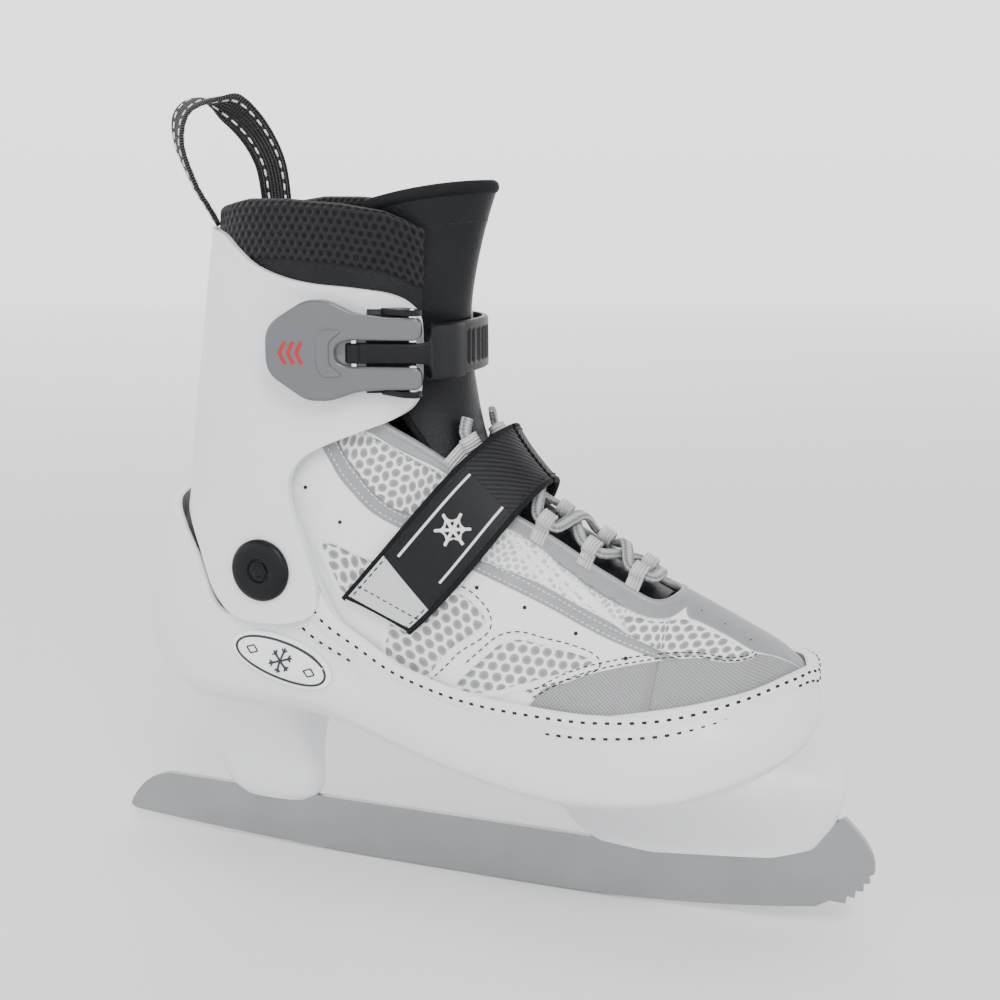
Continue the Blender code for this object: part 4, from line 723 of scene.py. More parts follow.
TOE_CAP = [(6.0, 1.80), (5.52, 1.554), (5.14, 1.40), (4.71, 1.25), (4.29, 1.105), (3.74, 0.94),
           (3.14, 0.845), (2.71, 0.68), (2.55, 0.52), (1.9, 0.36), (1.2, 0.2), (0.5, 0.0), (0.3, 2.5),
           (6.0, 2.6)]
TOE_CENTRE = [(4.14, -0.3), (4.14, 0.3), (4.05, 0.47), (3.86, 0.45), (3.26, 0.46), (2.65, 0.50),
              (1.9, 0.34), (1.2, 0.18), (0.6, 0.0), (0.6, -0.3)]
BARS = [((7.38, 0.66), (6.07, 0.935)), ((7.14, 0.645), (5.32, 0.96)), ((6.59, 0.63), (4.95, 0.955)),
        ((5.95, 0.68), (4.72, 1.0))]
DOTS = [(11.31, 1.418), (10.22, 1.368), (7.38, 1.215), (6.47, 1.166), (5.57, 1.17), (4.77, 1.197),
        (3.91, 0.23), (3.45, 0.25), (2.84, 0.30)]
DOT_SIDES = 12
STRIP_MM = (20.0, 45.0)        # rough mm per unit of s and of phi, for offsets
UPPER_THICKNESS = 2.2
UPPER_GRID = (340, 170)        # points from toe to ankle, and from throat to rim
SEAM_WIDTH = 1.1               # half width of the diagonal bars


def edge_distance(path, points, closed=True):
    """Distance in mm from each point to a path on the last, both as 3-D points."""
    ends = np.roll(path, -1, axis=0) if closed else path[1:]
    starts = path if closed else path[:-1]
    best = np.full(len(points), 1e9)
    for a, b in zip(starts, ends):
        ab = b - a
        t = np.clip((points - a) @ ab / max(ab @ ab, 1e-9), 0, 1)
        best = np.minimum(best, np.linalg.norm(points - a - t[:, None] * ab, axis=1))
    return best


def inside(outline, s, phi):
    """Even-odd test of (s, phi) places against an outline."""
    found = np.zeros(len(s), bool)
    for (s0, p0), (s1, p1) in zip(outline, np.roll(outline, -1, axis=0)):
        crosses = (p0 > phi) != (p1 > phi)
        found ^= crosses & (s < s0 + (s1 - s0) * (phi - p0) / (p1 - p0 + 1e-12))
    return found


def panel_field(outline, side, s, phi, points):
    """Signed distance in mm, positive inside the outline."""
    smooth = smooth_path(outline, 5 * len(outline), closed=True)
    edge = last_surface(smooth[:, 0], side * smooth[:, 1])
    near = edge_distance(edge, points)
    return np.where(inside(smooth, s, side * phi), near, -near)


def make_upper_half(name, side, replaced):
    """One side of the upper as a fine relief, with a distance field for each kind of panel."""
    throat_s, throat_phi = zip(*THROAT)
    tuck_s, tuck_phi = zip(*TUCK)
    count_s, count_v = UPPER_GRID
    s = np.repeat(np.linspace(0.9, 12.0, count_s)[:, None], count_v, axis=1)
    v = np.linspace(0, 1, count_v)[None, :]
    start = np.where(s[:, :1] < throat_s[0], 0.0, np.interp(s[:, :1], throat_s, throat_phi))
    phi = side * lerp(start, np.interp(s[:, :1], tuck_s, tuck_phi), v)
    flat_s, flat_phi = s.ravel(), phi.ravel()
    points = last_surface(flat_s, flat_phi)

    def field(outline):
        return panel_field(outline, side, flat_s, flat_phi, points)
    windows = {key: field(outline) for key, outline in (
        ("ankle", ANKLE_NET), ("fore", FORE_NET), ("mid", MID_NET), ("back", BACK_NET), ("toe", TOE_NET))}
    net = np.maximum.reduce(list(windows.values()))
    silver = np.maximum.reduce([field(BAND_REAR), field(BAND_FRONT), field(EYESTAY), field(TOE_CENTRE)])
    panel, cap = field(PANEL), field(TOE_CAP)
    bars = np.full(len(flat_s), -1e3)
    for a, b in BARS:
        ends = np.array([a, b])
        path = last_surface(np.linspace(*ends[:, 0], 8), side * np.linspace(*ends[:, 1], 8))
        bars = np.maximum(bars, SEAM_WIDTH - edge_distance(path, points, closed=False))
    bars = np.minimum(bars, panel)
    rimmed = np.maximum.reduce([windows["fore"], windows["mid"], windows["back"]])
    lift = (-0.9 * smooth_step(np.maximum(net, panel), 0.0, 0.7)
            + 0.55 * np.exp(-((rimmed + 1.5) / 1.0) ** 2)
            + 0.5 * smooth_step(silver, -0.2, 0.4) + 0.25 * smooth_step(cap, -0.2, 0.4)
            + 0.7 * smooth_step(bars, -0.2, 0.4))
    outer = last_surface(flat_s, flat_phi, lift).reshape(count_s, count_v, 3)
    inner = last_surface(s, phi, -UPPER_THICKNESS)
    run_s = np.cumsum(np.linalg.norm(np.diff(outer[:, 60], axis=0, prepend=outer[:1, 60]), axis=1))
    across = np.cumsum(np.linalg.norm(np.diff(outer, axis=1, prepend=outer[:, :1]), axis=2), axis=1)
    from_edge = across - across[:, -1:]
    uv = np.stack([np.repeat(run_s[:, None], count_v, axis=1), from_edge], axis=2)
    fields = {"net": net, "silver": silver, "panel": panel, "cap": cap, "bars": bars}
    half = slab(name, outer, inner, UPPER, fields=fields, uv=uv, smooth_angle=60)
    finish_piece(half, "boot", "white_leather", *replaced)


def shifted(path, amount):
    """Path in (s, phi) moved sideways by an amount in mm."""
    path = np.asarray(path, float)
    scale = np.array(STRIP_MM)
    tangent = unit(np.gradient(path * scale, axis=0))
    return path + np.stack([-tangent[:, 1], tangent[:, 0]], axis=1) * amount / scale


def on_last(path, side, lift, count=200):
    """Dense 3-D path over the last from (s, phi) places given for one side."""
    dense = smooth_path(path, count)
    return even_path(last_surface(dense[:, 0], side * dense[:, 1], lift), count)


RAND_SIDE = [(12.2, 1.47), (11.66, 1.50), (11.25, 1.53), (10.66, 1.56), (9.95, 1.65), (9.35, 1.83),
             (8.7, 1.90), (8.0, 1.95), (6.94, 1.92), (5.86, 1.84), (4.97, 1.75), (4.14, 1.63),
             (3.19, 1.40), (2.13, 1.08), (1.35, 0.68)]
RAND_SHIFT = 2.2               # mm, moves the whole strip up from the rim
RAND_PROFILE = [(-2.6, 3.0), (-2.2, 4.0), (-1.2, 4.7), (0.2, 4.9), (1.8, 4.6), (2.9, 4.0), (3.6, 3.5),
                (4.3, 3.6), (5.4, 3.7), (7.2, 3.2), (8.6, 2.3), (9.6, 1.1), (9.8, -0.6), (6.0, -0.8),
                (2.0, 1.0), (-1.5, 2.2)]


def make_rand():
    """Leather strip stitched round the rim of the shell."""
    route = [(s, -phi) for s, phi in RAND_SIDE] + [(0.92, 0.0)] + RAND_SIDE[::-1]
    dense = smooth_path(route, 420)
    rings = []
    for across, lift in RAND_PROFILE:
        moved = shifted(dense, across + RAND_SHIFT)
        rings.append(last_surface(moved[:, 0], moved[:, 1], lift))
    rings = np.array(rings).transpose(1, 0, 2)
    strip = sweep("rand", rings, RAND, smooth_angle=60)
    finish_piece(strip, "boot", "white_leather")
    for label, across, lift in (("outer", 0.3, 4.8), ("inner", 6.3, 3.5)):
        moved = shifted(dense, across + RAND_SHIFT)
        row = stitches(f"rand_stitches_{label}", last_surface(moved[:, 0], moved[:, 1], lift),
                       4.2, 1.7, 0.62, THREAD_DARK)
        finish_piece(row, "boot", "white_leather")


def make_perforations(label, side):
    """Small dark discs sunk into the leather, for one side of the upper; their dark is painted shade standing
    in for open holes.
    """
    verts, faces = [], []
    for s, phi in DOTS:
        place = last_surface(s, side * phi, 0.35)
        up = unit(last_surface(s, side * phi, 1.0) - last_surface(s, side * phi, 0.0))
        u = unit(np.cross(up, (0.0, 0.0, 1.0)))
        w = np.cross(up, u)
        start = len(verts)
        for lift, size in ((-0.6, 0.7), (0.05, 0.7), (0.15, 0.4)):
            verts += [place + up * lift + size * (math.cos(t) * u + math.sin(t) * w)
                      for t in np.linspace(0, 2 * math.pi, DOT_SIDES, endpoint=False)]
        faces += strip_faces(3, DOT_SIDES, closed_v=True, start=start)
        faces += [tuple(range(start, start + DOT_SIDES)),
                  tuple(range(start + 2 * DOT_SIDES, start + 3 * DOT_SIDES))]
    finish_piece(new_object(f"{label}_perforations", verts, faces, THREAD_DARK), "boot", "white_leather")


def make_upper_details():
    """Seams of both sides, their perforations and the piping round the throat."""
    rows = [("ankle_seam", BAND_REAR[1:8], 1.2, 0.75, THREAD_WHITE, 2.1),
            ("ankle_seam_low", BAND_REAR[1:8], 3.4, 0.75, THREAD_WHITE, 2.1),
            ("front_seam", BAND_FRONT[9:], -1.2, 0.75, THREAD_WHITE, 2.1),
            ("front_seam_top", BAND_FRONT[9:], -4.4, 0.75, THREAD_WHITE, 2.1),
            ("eyestay_seam", EYESTAY[3:15], 0.9, 0.75, THREAD_GREY, 2.0),
            ("cap_seam", TOE_CAP[0:9], 0.8, 0.5, THREAD_DARK, 2.6),
            ("cap_seam_low", TOE_CAP[0:9], 2.6, 0.5, THREAD_DARK, 2.6),
            ("fore_seam", FORE_NET[1:11], 2.6, 0.35, THREAD_DARK, 3.0),
            ("mid_seam", MID_NET[0:9], 2.6, 0.35, THREAD_DARK, 3.0)]
    for side, label in ((-1, "lateral"), (1, "medial")):
        for name, path, across, lift, thread, pitch in rows:
            line = on_last(shifted(smooth_path(path, 90), across), side, lift)
            row = stitches(f"{label}_{name}", line, pitch, pitch * 0.62, 0.27, thread)
            finish_piece(row, "boot", "white_leather")
        make_perforations(label, side)
    throat = [(s, -p) for s, p in THROAT[::-1]] + THROAT[1:]
    dense = smooth_path(throat, 400)
    edge = even_path(last_surface(dense[:, 0], dense[:, 1], -0.7), 400)
    finish_piece(tube("throat_binding", edge, 1.7, SILVER_LEATHER, sides=14), "boot", "white_leather")


# ------------------------------------------------------------------ tongue, laces and loops
LOOP_STATIONS = [4.95, 5.75, 6.65, 7.9, 9.15]
LOOP_THROAT = [(4.3, 0.10), (4.6, 0.26), (5.2, 0.36), (6.0, 0.42), (7.0, 0.47), (8.0, 0.50),
               (9.0, 0.52), (10.2, 0.50)]
LOOP_LIFT = 1.6
RIB_PITCH = 1.12
LACE_ENDS = (9.75, 0.30, 2.0)
TONGUE_STATIONS = (4.45, 5.3, 6.2, 7.1, 8.0, 8.8, 9.3)      # of the boot's last, up the instep
TONGUE_SHARES = (0.06, 0.3, 0.5, 0.7, 0.85, 1.0)            # of the height over the shin


def loop_phi(s):
    stations, angles = zip(*LOOP_THROAT)
    return float(np.interp(s, stations, angles)) - 0.135


def tongue_point(u, z, inset):
    """Shin part of the tongue, u from -1 (outer side) to 1, flaring at its top."""
    lean = 9.5 * np.maximum(z - 218.0, 0.0) ** 1.6 / 45.0 ** 1.6
    wide = 24.0 + 3.0 * np.maximum(z - 250.0, 0.0) / 16.0
    angle = u * 1.18
    return np.stack([-53 + (53.5 + lean - inset) * np.cos(angle), (wide - inset) * np.sin(angle), z], axis=-1)


def tongue_grid(inset, low_lift, count_u=61, count_v=120):
    u = np.linspace(-1, 1, count_u)
    rows = [last_surface(np.full(count_u, s), 0.72 * u, low_lift) for s in TONGUE_STATIONS]
    for share in TONGUE_SHARES:
        rows.append(tongue_point(u, lerp(205.0, 266.0 - 7.0 * np.abs(u) ** 3, share), inset))
    rows = np.array(rows)
    columns = [even_path(smooth_path(rows[:, k], 300), count_v) for k in range(count_u)]
    return np.array(columns).transpose(1, 0, 2)


def make_tongue():
    """Padded tongue that runs from the boot up under the cuff, with bound edges."""
    outer = tongue_grid(0.0, -3.0)
    inner = tongue_grid(4.2, -6.8)
    body = slab("tongue_padding", outer, inner, LEATHERETTE, smooth_angle=70)
    edge = (outer[-1] + inner[-1]) / 2
    binding = tube("tongue_binding", even_path(edge, 160), 2.6, BINDING, sides=16)
    corners = [np.concatenate([column[58:], [column[-1]]]) for column in (outer[:, 0], outer[:, -1])]
    sides = [tube(f"tongue_piping_{label}", even_path(path, 120), 1.5, BINDING, sides=12)
             for label, path in zip(("lateral", "medial"), corners)]
    row = stitches("tongue_stitches", even_path(outer[-9, 4:-4], 200), 3.4, 2.1, 0.3, THREAD_DARK)
    for thing in (body, *sides):
        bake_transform(thing)
    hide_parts("tongue_lower", "tongue_upper")
    for thing in (binding, row):
        finish_piece(thing, "cuff", "black_leather")


def make_lining():
    """Dark lining inside the upper, seen past the edge of the cuff and down the mouth."""
    s = np.linspace(8.3, 12.0, 60)[:, None]
    phi = np.linspace(-1, 1, 121)[None, :] * 2.9
    stations, angles = zip(*THROAT)
    keep = np.sign(phi) * np.maximum(np.abs(phi), np.interp(s, stations, angles) + 0.05)
    outer = last_surface(np.broadcast_to(s, keep.shape), keep, -2.6)
    inner = last_surface(np.broadcast_to(s, keep.shape), keep, -4.2)
    for label, part in (("lateral", slice(0, 60)), ("medial", slice(61, 121))):
        finish_piece(slab(f"ankle_lining_{label}", outer[:, part], inner[:, part], LINING, smooth_angle=70),
                     "boot", "black_mesh")


def lace_route():
    """Stops of the lace: down one way through the loops, and up the other way."""
    def at_loop(row, side):
        s, phi = LOOP_STATIONS[row], side * loop_phi(LOOP_STATIONS[row])
        pace = np.linalg.norm(last_surface(s + 0.05, phi) - last_surface(s - 0.05, phi)) * 10
        return [(s + step / pace, phi, LOOP_LIFT) for step in (4.4, 0.0, -4.4)]

    def crossing(row, lift):
        return [((LOOP_STATIONS[row] + LOOP_STATIONS[row + 1]) / 2, 0.0, lift)]
    s_end, phi_end, lift_end = LACE_ENDS
    route = [(s_end, -phi_end, lift_end)]
    for row in range(4, 0, -1):
        route += at_loop(row, -1 if row % 2 == 0 else 1) + crossing(row - 1, 5.0)
    route += at_loop(0, -1) + [(4.72, -0.10, 1.8), (4.72, 0.10, 1.8)] + at_loop(0, 1)[::-1]
    for row in range(1, 5):
        route += crossing(row - 1, 0.6) + at_loop(row, -1 if row % 2 else 1)[::-1]
    route.append((s_end, phi_end, lift_end))
    return route


def make_laces():
    """Flat ribbed lace that runs through all ten loops."""
    stops = np.array(lace_route())
    places = np.array([last_surface(*stop) for stop in stops])
    above = np.array([last_surface(s, phi, lift + 1.0) for s, phi, lift in stops])
    fine = smooth_path(places, 2600)
    ups = unit(smooth_path(above, 2600) - fine)
    run = path_length(fine)
    steps = np.linspace(0, run[-1], 900)
    path = np.stack([np.interp(steps, run, fine[:, c]) for c in range(3)], axis=1)
    ups = np.stack([np.interp(steps, run, ups[:, c]) for c in range(3)], axis=1)
    tangent = unit(np.gradient(path, axis=0))
    side = unit(np.cross(tangent, ups))
    up = np.cross(side, tangent)
    turn = np.linspace(0, 2 * math.pi, 24, endpoint=False)
    wave = 1 + 0.03 * np.sin(steps * 2 * math.pi / 1.6)[:, None, None]
    rings = path[:, None] + wave * (2.35 * signed_power(np.cos(turn), 0.8)[None, :, None] * side[:, None]
                                    + 1.35 * signed_power(np.sin(turn), 0.8)[None, :, None] * up[:, None])
    uv = np.stack(np.broadcast_arrays(steps[:, None], (turn / (2 * math.pi))[None, :]), axis=2)
    finish_piece(sweep("lace_braid", rings, CORD, uv=uv), "boot", "lace_cord", "lace")


def make_loops():
    """Ribbed webbing loops and the tabs that hold them to the throat."""
    for row, s in enumerate(LOOP_STATIONS, start=1):
        for label, side in (("lateral", -1), ("medial", 1)):
            phi = side * loop_phi(s)
            centre = last_surface(s, phi, LOOP_LIFT)
            along = unit(last_surface(s + 0.05, phi, LOOP_LIFT) - last_surface(s - 0.05, phi, LOOP_LIFT))
            across = unit(np.cross(along, last_surface(s, phi, LOOP_LIFT + 1) - centre))
            up = np.cross(across, along)
            rings, uv = [], []
            section = [(d, 0.95 + 0.16 * math.cos(2 * math.pi * d / RIB_PITCH))
                       for d in np.linspace(-2.8, 2.8, 41)]
            section += [(2.7, 0.1), (-2.7, 0.1)]
            for t in np.linspace(0, 2 * math.pi, 48, endpoint=False):
                rings.append([centre + along * depth + across * (2.7 + grow) * math.cos(t)
                              + up * (2.35 + grow) * math.sin(t) for depth, grow in section])
                uv.append([(t * 3.4, depth) for depth, grow in section])
            loop = sweep(f"webbing_loop_{label}_{row}", rings, SILVER_WEB, closed=True, uv=np.array(uv))
            finish_piece(loop, "boot", "silver_webbing", f"{label}_lace_loop_{row}")
            reach = np.linspace(0, 1, 24)[:, None, None]
            wide = np.linspace(-2.8, 2.8, 25)[None, :, None]
            start, end = phi + side * 0.02, phi + side * 0.30
            pace = np.linalg.norm(last_surface(s + 0.5, phi) - last_surface(s - 0.5, phi))
            grids = []
            for lift in (0.95, -0.4):
                ridge = 0.16 * np.cos(2 * math.pi * wide[..., 0] / RIB_PITCH) * (lift > 0)
                place_s = s + wide[..., 0] / pace + 0 * reach[..., 0]
                place_phi = lerp(start, end, reach[..., 0]) + 0 * wide[..., 0]
                grids.append(last_surface(place_s, place_phi, lift + ridge + 0 * place_s))
            span = np.stack(np.broadcast_arrays(reach[..., 0] * 10, wide[..., 0]), axis=2)
            tab = slab(f"loop_tab_{label}_{row}", grids[0], grids[1], SILVER_WEB, uv=span)
            finish_piece(tab, "boot", "silver_webbing")


# ------------------------------------------------------------------ instep strap
def strap_point(phi, across, lift, flat=False):
    """Point of the strap; across runs from -1, the front edge, to 1, the rear edge."""
    s = 8.0 + 0.28 * np.abs(phi) ** 1.8 + (0.90 - 0.11 * phi * phi) * across
    base = 0.0 if flat else 1.6 + 5.9 * np.exp(-(phi / 0.85) ** 2)
    return last_surface(s, phi, base + lift)


def strap_sheet(name, start, end, low, high, material, width=1.0, flat=False, fields=None):
    phi = np.linspace(start, end, 160)[:, None]
    across = np.linspace(-width, width, 49)[None, :]
    crown = 0.35 * np.sqrt(1 - (across / width) ** 2 * 0.98)
    outer = strap_point(phi, across, high - 0.35 + crown, flat)
    inner = strap_point(phi, across, low + 0 * across, flat)
    run = path_length(outer[:, 24])
    wide = path_length(outer[80]) - path_length(outer[80])[-1] / 2
    uv = np.stack(np.broadcast_arrays(run[:, None], wide[None, :]), axis=2)
    marks = {key: make(uv[..., 0], uv[..., 1]) for key, make in (fields or {}).items()}
    return slab(name, outer, inner, material, fields=marks, uv=uv, smooth_angle=60)


def make_straps():
    """Both halves of the instep strap, the hook pad, bound edges and stitching."""
    def patch(run, wide):
        """Slanted grey end panel, as a signed distance in mm."""
        return np.minimum(17.0 + wide * 0.35 - run, 14.0 - np.abs(wide))

    def lines(run, wide):
        """Snowflake of thin lines between two long stripes."""
        best = 0.45 - np.abs(np.abs(wide) - 8.6)
        best = np.where((run > 24) & (run < 62), best, -9.0)
        for turn in range(3):
            angle = math.radians(60 * turn + 12)
            a = (run - 43) * math.cos(angle) + wide * math.sin(angle)
            b = -(run - 43) * math.sin(angle) + wide * math.cos(angle)
            best = np.maximum(best, np.minimum(0.55 - np.abs(b), 6.6 - np.abs(a)))
            best = np.maximum(best, np.minimum(0.45 - np.abs(np.abs(a) - 4.4 + np.abs(b)), 1.8 - np.abs(b)))
        return best

    def twill(run, wide):
        return run - 62.0

    def none(run, wide):
        return run * 0 - 9.0
    flap = strap_sheet("strap_webbing", -1.71, -0.02, 0.05, 2.1, STRAP,
                       fields={"patch": patch, "lines": lines, "twill": twill})
    finish_piece(flap, "strap", "black_webbing", "strap_flap")
    back = strap_sheet("strap_webbing_medial", 1.71, 0.02, 0.05, 2.1, STRAP,
                       fields={"patch": none, "lines": none, "twill": twill})
    finish_piece(back, "boot", "black_webbing", "strap_medial")
    pad = strap_sheet("hook_pad", -1.66, -0.85, 0.06, 1.1, FUZZ, width=0.9, flat=True)
    finish_piece(pad, "boot", "black_mesh", "strap_pad")
    for label, side, body in (("lateral", -1, "strap"), ("medial", 1, "boot")):
        phi = side * np.linspace(0.02, 1.71, 200)
        for edge, across in (("front", -0.985), ("rear", 0.985)):
            line = strap_point(phi, np.full(200, across), 1.1)
            finish_piece(tube(f"strap_edge_{edge}_{label}", line, 1.15, BINDING), body, "black_webbing")
            thread = strap_point(phi, np.full(200, across * 0.86), 2.15)
            finish_piece(stitches(f"strap_thread_{edge}_{label}", thread, 3.0, 1.9, 0.27, THREAD_DARK),
                         body, "black_webbing")
    for label, phi in (("end", -1.69), ("tack_low", -1.60)):
        line = strap_point(np.full(60, phi), np.linspace(-0.95, 0.95, 60), 2.0 if label != "end" else 1.1)
        piece = (tube(f"strap_{label}", line, 1.15, BINDING) if label == "end"
                 else stitches(f"strap_{label}", line, 2.6, 1.7, 0.3, THREAD_DARK))
        finish_piece(piece, "strap", "black_webbing")


# ------------------------------------------------------------------ cuff
def edge_of(path, x, z):
    """Distance in side view from points to a polyline."""
    points = np.stack([x.ravel(), 0 * x.ravel(), z.ravel()], axis=1)
    line = np.array([(a, 0.0, b) for a, b in path])
    return edge_distance(line, points, closed=False).reshape(x.shape)


TOP_CREASE = [(-24, 221), (-34, 224.5), (-46, 226), (-58, 228.5), (-68, 232.5), (-76, 238), (-84, 243),
              (-100, 245), (-125, 245.5)]
BUCKLE_CREASE = [(-44, 229), (-58, 226), (-66, 219), (-68.5, 209), (-66, 199), (-58, 192), (-44, 188)]


def make_cuff():
    """Hinged cuff: a fine tube with two creases, cut to its side outline."""
    turn = np.linspace(0, 2 * math.pi, 280, endpoint=False)[None, :]
    heights = np.arange(104, 257.5, 2.0)[:, None]
    face = cuff_surface(turn + 0 * heights, heights + 0 * turn)
    dent = (0.55 * np.exp(-(edge_of(TOP_CREASE, face[..., 0], face[..., 2]) / 1.1) ** 2)
            + 0.5 * np.exp(-(edge_of(BUCKLE_CREASE, face[..., 0], face[..., 2]) / 1.0) ** 2))
    outer = cuff_surface(turn + 0 * heights, heights + 0 * turn, dent)
    inner = cuff_surface(turn + 0 * heights, heights + 0 * turn, CUFF_WALL)
    rings = np.concatenate([outer, inner[::-1]])
    faces = strip_faces(*rings.shape[:2], closed_u=True, closed_v=True)
    cuff = new_object("cuff_skin", rings.reshape(-1, 3), faces, WHITE)
    outline = even_path(smooth_path(CUFF_OUTLINE + CUFF_OUTLINE[:1], 800), 260)[:-1]
    cutter = prism("cuff_cutter", [tuple(p) for p in outline], -80, 80, side_plate, WHITE)
    cut = cuff.modifiers.new("cut", "BOOLEAN")
    cut.operation = "INTERSECT"
    cut.object = cutter
    cut.solver = "EXACT"
    bpy.context.view_layer.update()
    data = bpy.data.meshes.new_from_object(cuff.evaluated_get(bpy.context.evaluated_depsgraph_get()))
    cuff.modifiers.clear()
    bpy.data.objects.remove(cutter)
    made = bmesh.new()
    made.from_mesh(data)
    bmesh.ops.remove_doubles(made, verts=made.verts, dist=0.22 * MM)
    made.to_mesh(data)
    made.free()
    cuff.data = data
    data.shade_smooth()
    data.set_sharp_from_angle(angle=math.radians(40))
    add_bevel(cuff, 0.7, segments=3, angle=50.0)
    finish_piece(cuff, "cuff", "white_shell", "cuff")


def make_pivots():
    """Domed caps of the cuff's pivots, each with a hexagonal socket."""
    for label, side in (("lateral", -1), ("medial", 1)):
        profile = [(32.0, 4.0), (43.6, 4.0), (43.6, 11.7), (44.5, 11.7), (45.2, 11.2), (45.7, 10.2),
                   (46.0, 8.4), (46.1, 5.2), (46.0, 4.6), (45.6, 4.3), (45.2, 4.1)]
        cap = turned(f"pivot_cap_{label}", profile, (PIVOT[0], 0, PIVOT[1]), (0, side, 0), BLACK, sides=72)
        finish_piece(cap, "cuff", "black_plastic", f"cuff_rivet_{label}")
        ring = turned(f"pivot_socket_{label}", [(45.0, 3.6), (45.75, 3.6), (45.75, 2.7), (45.3, 2.2)],
                      (PIVOT[0], 0, PIVOT[1]), (0, side, 0), BLACK, sides=6)
        finish_piece(ring, "cuff", "black_plastic")


COLLAR_TOP = [(-150, 256), (-120, 257), (-88, 260), (-75, 262), (-57, 262), (-36, 260.5), (-21, 258),
              (-14.5, 255), (-10, 252)]
COLLAR_LOW = [(-150, 172), (-120, 174), (-60, 192), (-34, 206), (-20, 211), (-9, 214)]


def collar_loop(psi, drop_low, drop_high, proud, count):
    """Closed section of the collar for one angle, between two drops below the top edge."""
    x = cuff_surface(psi, 230.0, 3.6)[0]
    low, high = (np.interp(x, *zip(*table)) for table in (COLLAR_LOW, COLLAR_TOP))
    rearness = min(max((1 - math.cos(psi)) / 1.2 - 0.05, 0.0), 1.0)
    thick = lerp(2.6, 6.0, rearness)
    z0, z1 = (high - drop if drop is not None else low for drop in (drop_low, drop_high))
    cap = thick / 2
    outer = [(3.6 - proud, z) for z in np.linspace(z0, z1 - cap, count)]
    arc = [(3.6 - proud + (cap + proud) * (1 - math.cos(t)), z1 - cap + cap * math.sin(t))
           for t in np.linspace(0.2, math.pi - 0.2, 11)]
    inner = [(3.6 + thick + proud, z) for z in np.linspace(z1 - cap, z0, count)]
    return [cuff_surface(psi, z, inset) for inset, z in outer + arc + inner]


def make_collar():
    """Smooth lower band and padded mesh roll of the liner."""
    angles = np.linspace(0.53, 2 * math.pi - 0.53, 220)
    wall = np.array([collar_loop(psi, None, 14.0, 0.0, 14) for psi in angles])
    body = sweep("collar_wall", wall, LEATHERETTE, smooth_angle=60)
    padding = np.array([collar_loop(psi, 21.0, 0.0, 0.9, 12) for psi in angles])
    depth = path_length(padding[110])
    uv = np.stack(np.broadcast_arrays(path_length(padding[:, 6])[:, None], depth[None, :]), axis=2)
    roll = sweep("collar_roll", padding, MESH, uv=uv, smooth_angle=60)
    finish_piece(body, "cuff", "black_leather", "liner_collar")
    finish_piece(roll, "cuff", "black_mesh")
    line = [collar_loop(psi, 23.0, 0.0, 0.1, 8)[0] for psi in angles]
    finish_piece(stitches("collar_stitches", line, 3.3, 2.1, 0.28, THREAD_DARK), "cuff", "black_leather")


PULL_LOOP = [(-91.3, -22.2, 252.8), (-94.5, -22.6, 258.0), (-101.0, -21.5, 267.0), (-109.0, -17.5, 281.0),
             (-112.0, -10.5, 292.5), (-109.5, -1.5, 298.0), (-104.0, 8.0, 297.0), (-97.5, 15.5, 288.5),
             (-92.5, 20.5, 276.0), (-91.0, 22.6, 262.0), (-91.3, 22.2, 252.8)]


def make_pull_loop():
    """Finger loop of webbing with two dashed lines on either face."""
    centres = smooth_path(PULL_LOOP, 260)
    tangent = unit(np.gradient(centres, axis=0))
    wish = np.stack([np.ones(260), 0.067 * centres[:, 1], np.zeros(260)], axis=1)
    across = unit(wish - tangent * np.sum(tangent * wish, axis=1)[:, None])
    normal = np.cross(tangent, across)
    profile = [(6.5 * signed_power(math.cos(t), 0.25), 0.9 * signed_power(math.sin(t), 0.55))
               for t in np.linspace(0, 2 * math.pi, 64, endpoint=False)]
    rings = np.array([centres + across * a + normal * b for a, b in profile]).transpose(1, 0, 2)
    run = path_length(centres)
    wide = np.array([a for a, b in profile])
    uv = np.stack(np.broadcast_arrays(run[:, None], wide[None, :]), axis=2)
    finish_piece(sweep("finger_webbing", rings, BLACK_WEB, uv=uv), "cuff", "black_webbing", "pull_loop")
    for label, a in (("front", 3.6), ("rear", -3.6)):
        for face, side in (("outer", -1), ("inner", 1)):
            line = centres + across * a + normal * side * 0.85
            row = stitches(f"finger_dashes_{label}_{face}", line[8:-8], 4.4, 3.0, 0.5, THREAD_WHITE)
            finish_piece(row, "cuff", "black_webbing")


# ------------------------------------------------------------------ ratchet buckle
REARWARD = np.array([-math.cos(BUCKLE_ANGLE), -math.sin(BUCKLE_ANGLE), 0.0])
OUTWARD = np.array([math.sin(BUCKLE_ANGLE), -math.cos(BUCKLE_ANGLE), 0.0])
LEVER_OUTLINE = [
    (-3.2, 12.8), (-3.2, 4.6), (23.0, 4.6), (27.5, 2.6), (27.5, -2.6), (23.0, -4.6), (-3.2, -4.6),
    (-3.2, -12.8), (10.0, -12.6), (20.0, -13.6), (29.0, -17.0), (38.0, -17.0), (50.5, -8.5), (52.5, -4.0),
    (52.5, 6.5), (50.0, 11.0), (38.0, 18.5), (30.0, 18.8), (20.0, 14.0), (10.0, 12.6)]
LEVER_RIDGE = [(24.5, 8.0), (31.5, 8.6), (34.0, 5.0), (34.0, -5.0), (31.5, -8.6), (24.5, -8.0), (29.5, -4.0),
               (29.5, 4.0)]
LADDER_PIN_PSI = 1.34
LADDER_Z = (199.5, 218.5)


def at_buckle(a, b, depth):
    """Point in the buckle's frame: rearwards, up, and outwards from the cuff."""
    return HINGE + REARWARD * a + np.array([0, 0, 1.0]) * b + OUTWARD * depth


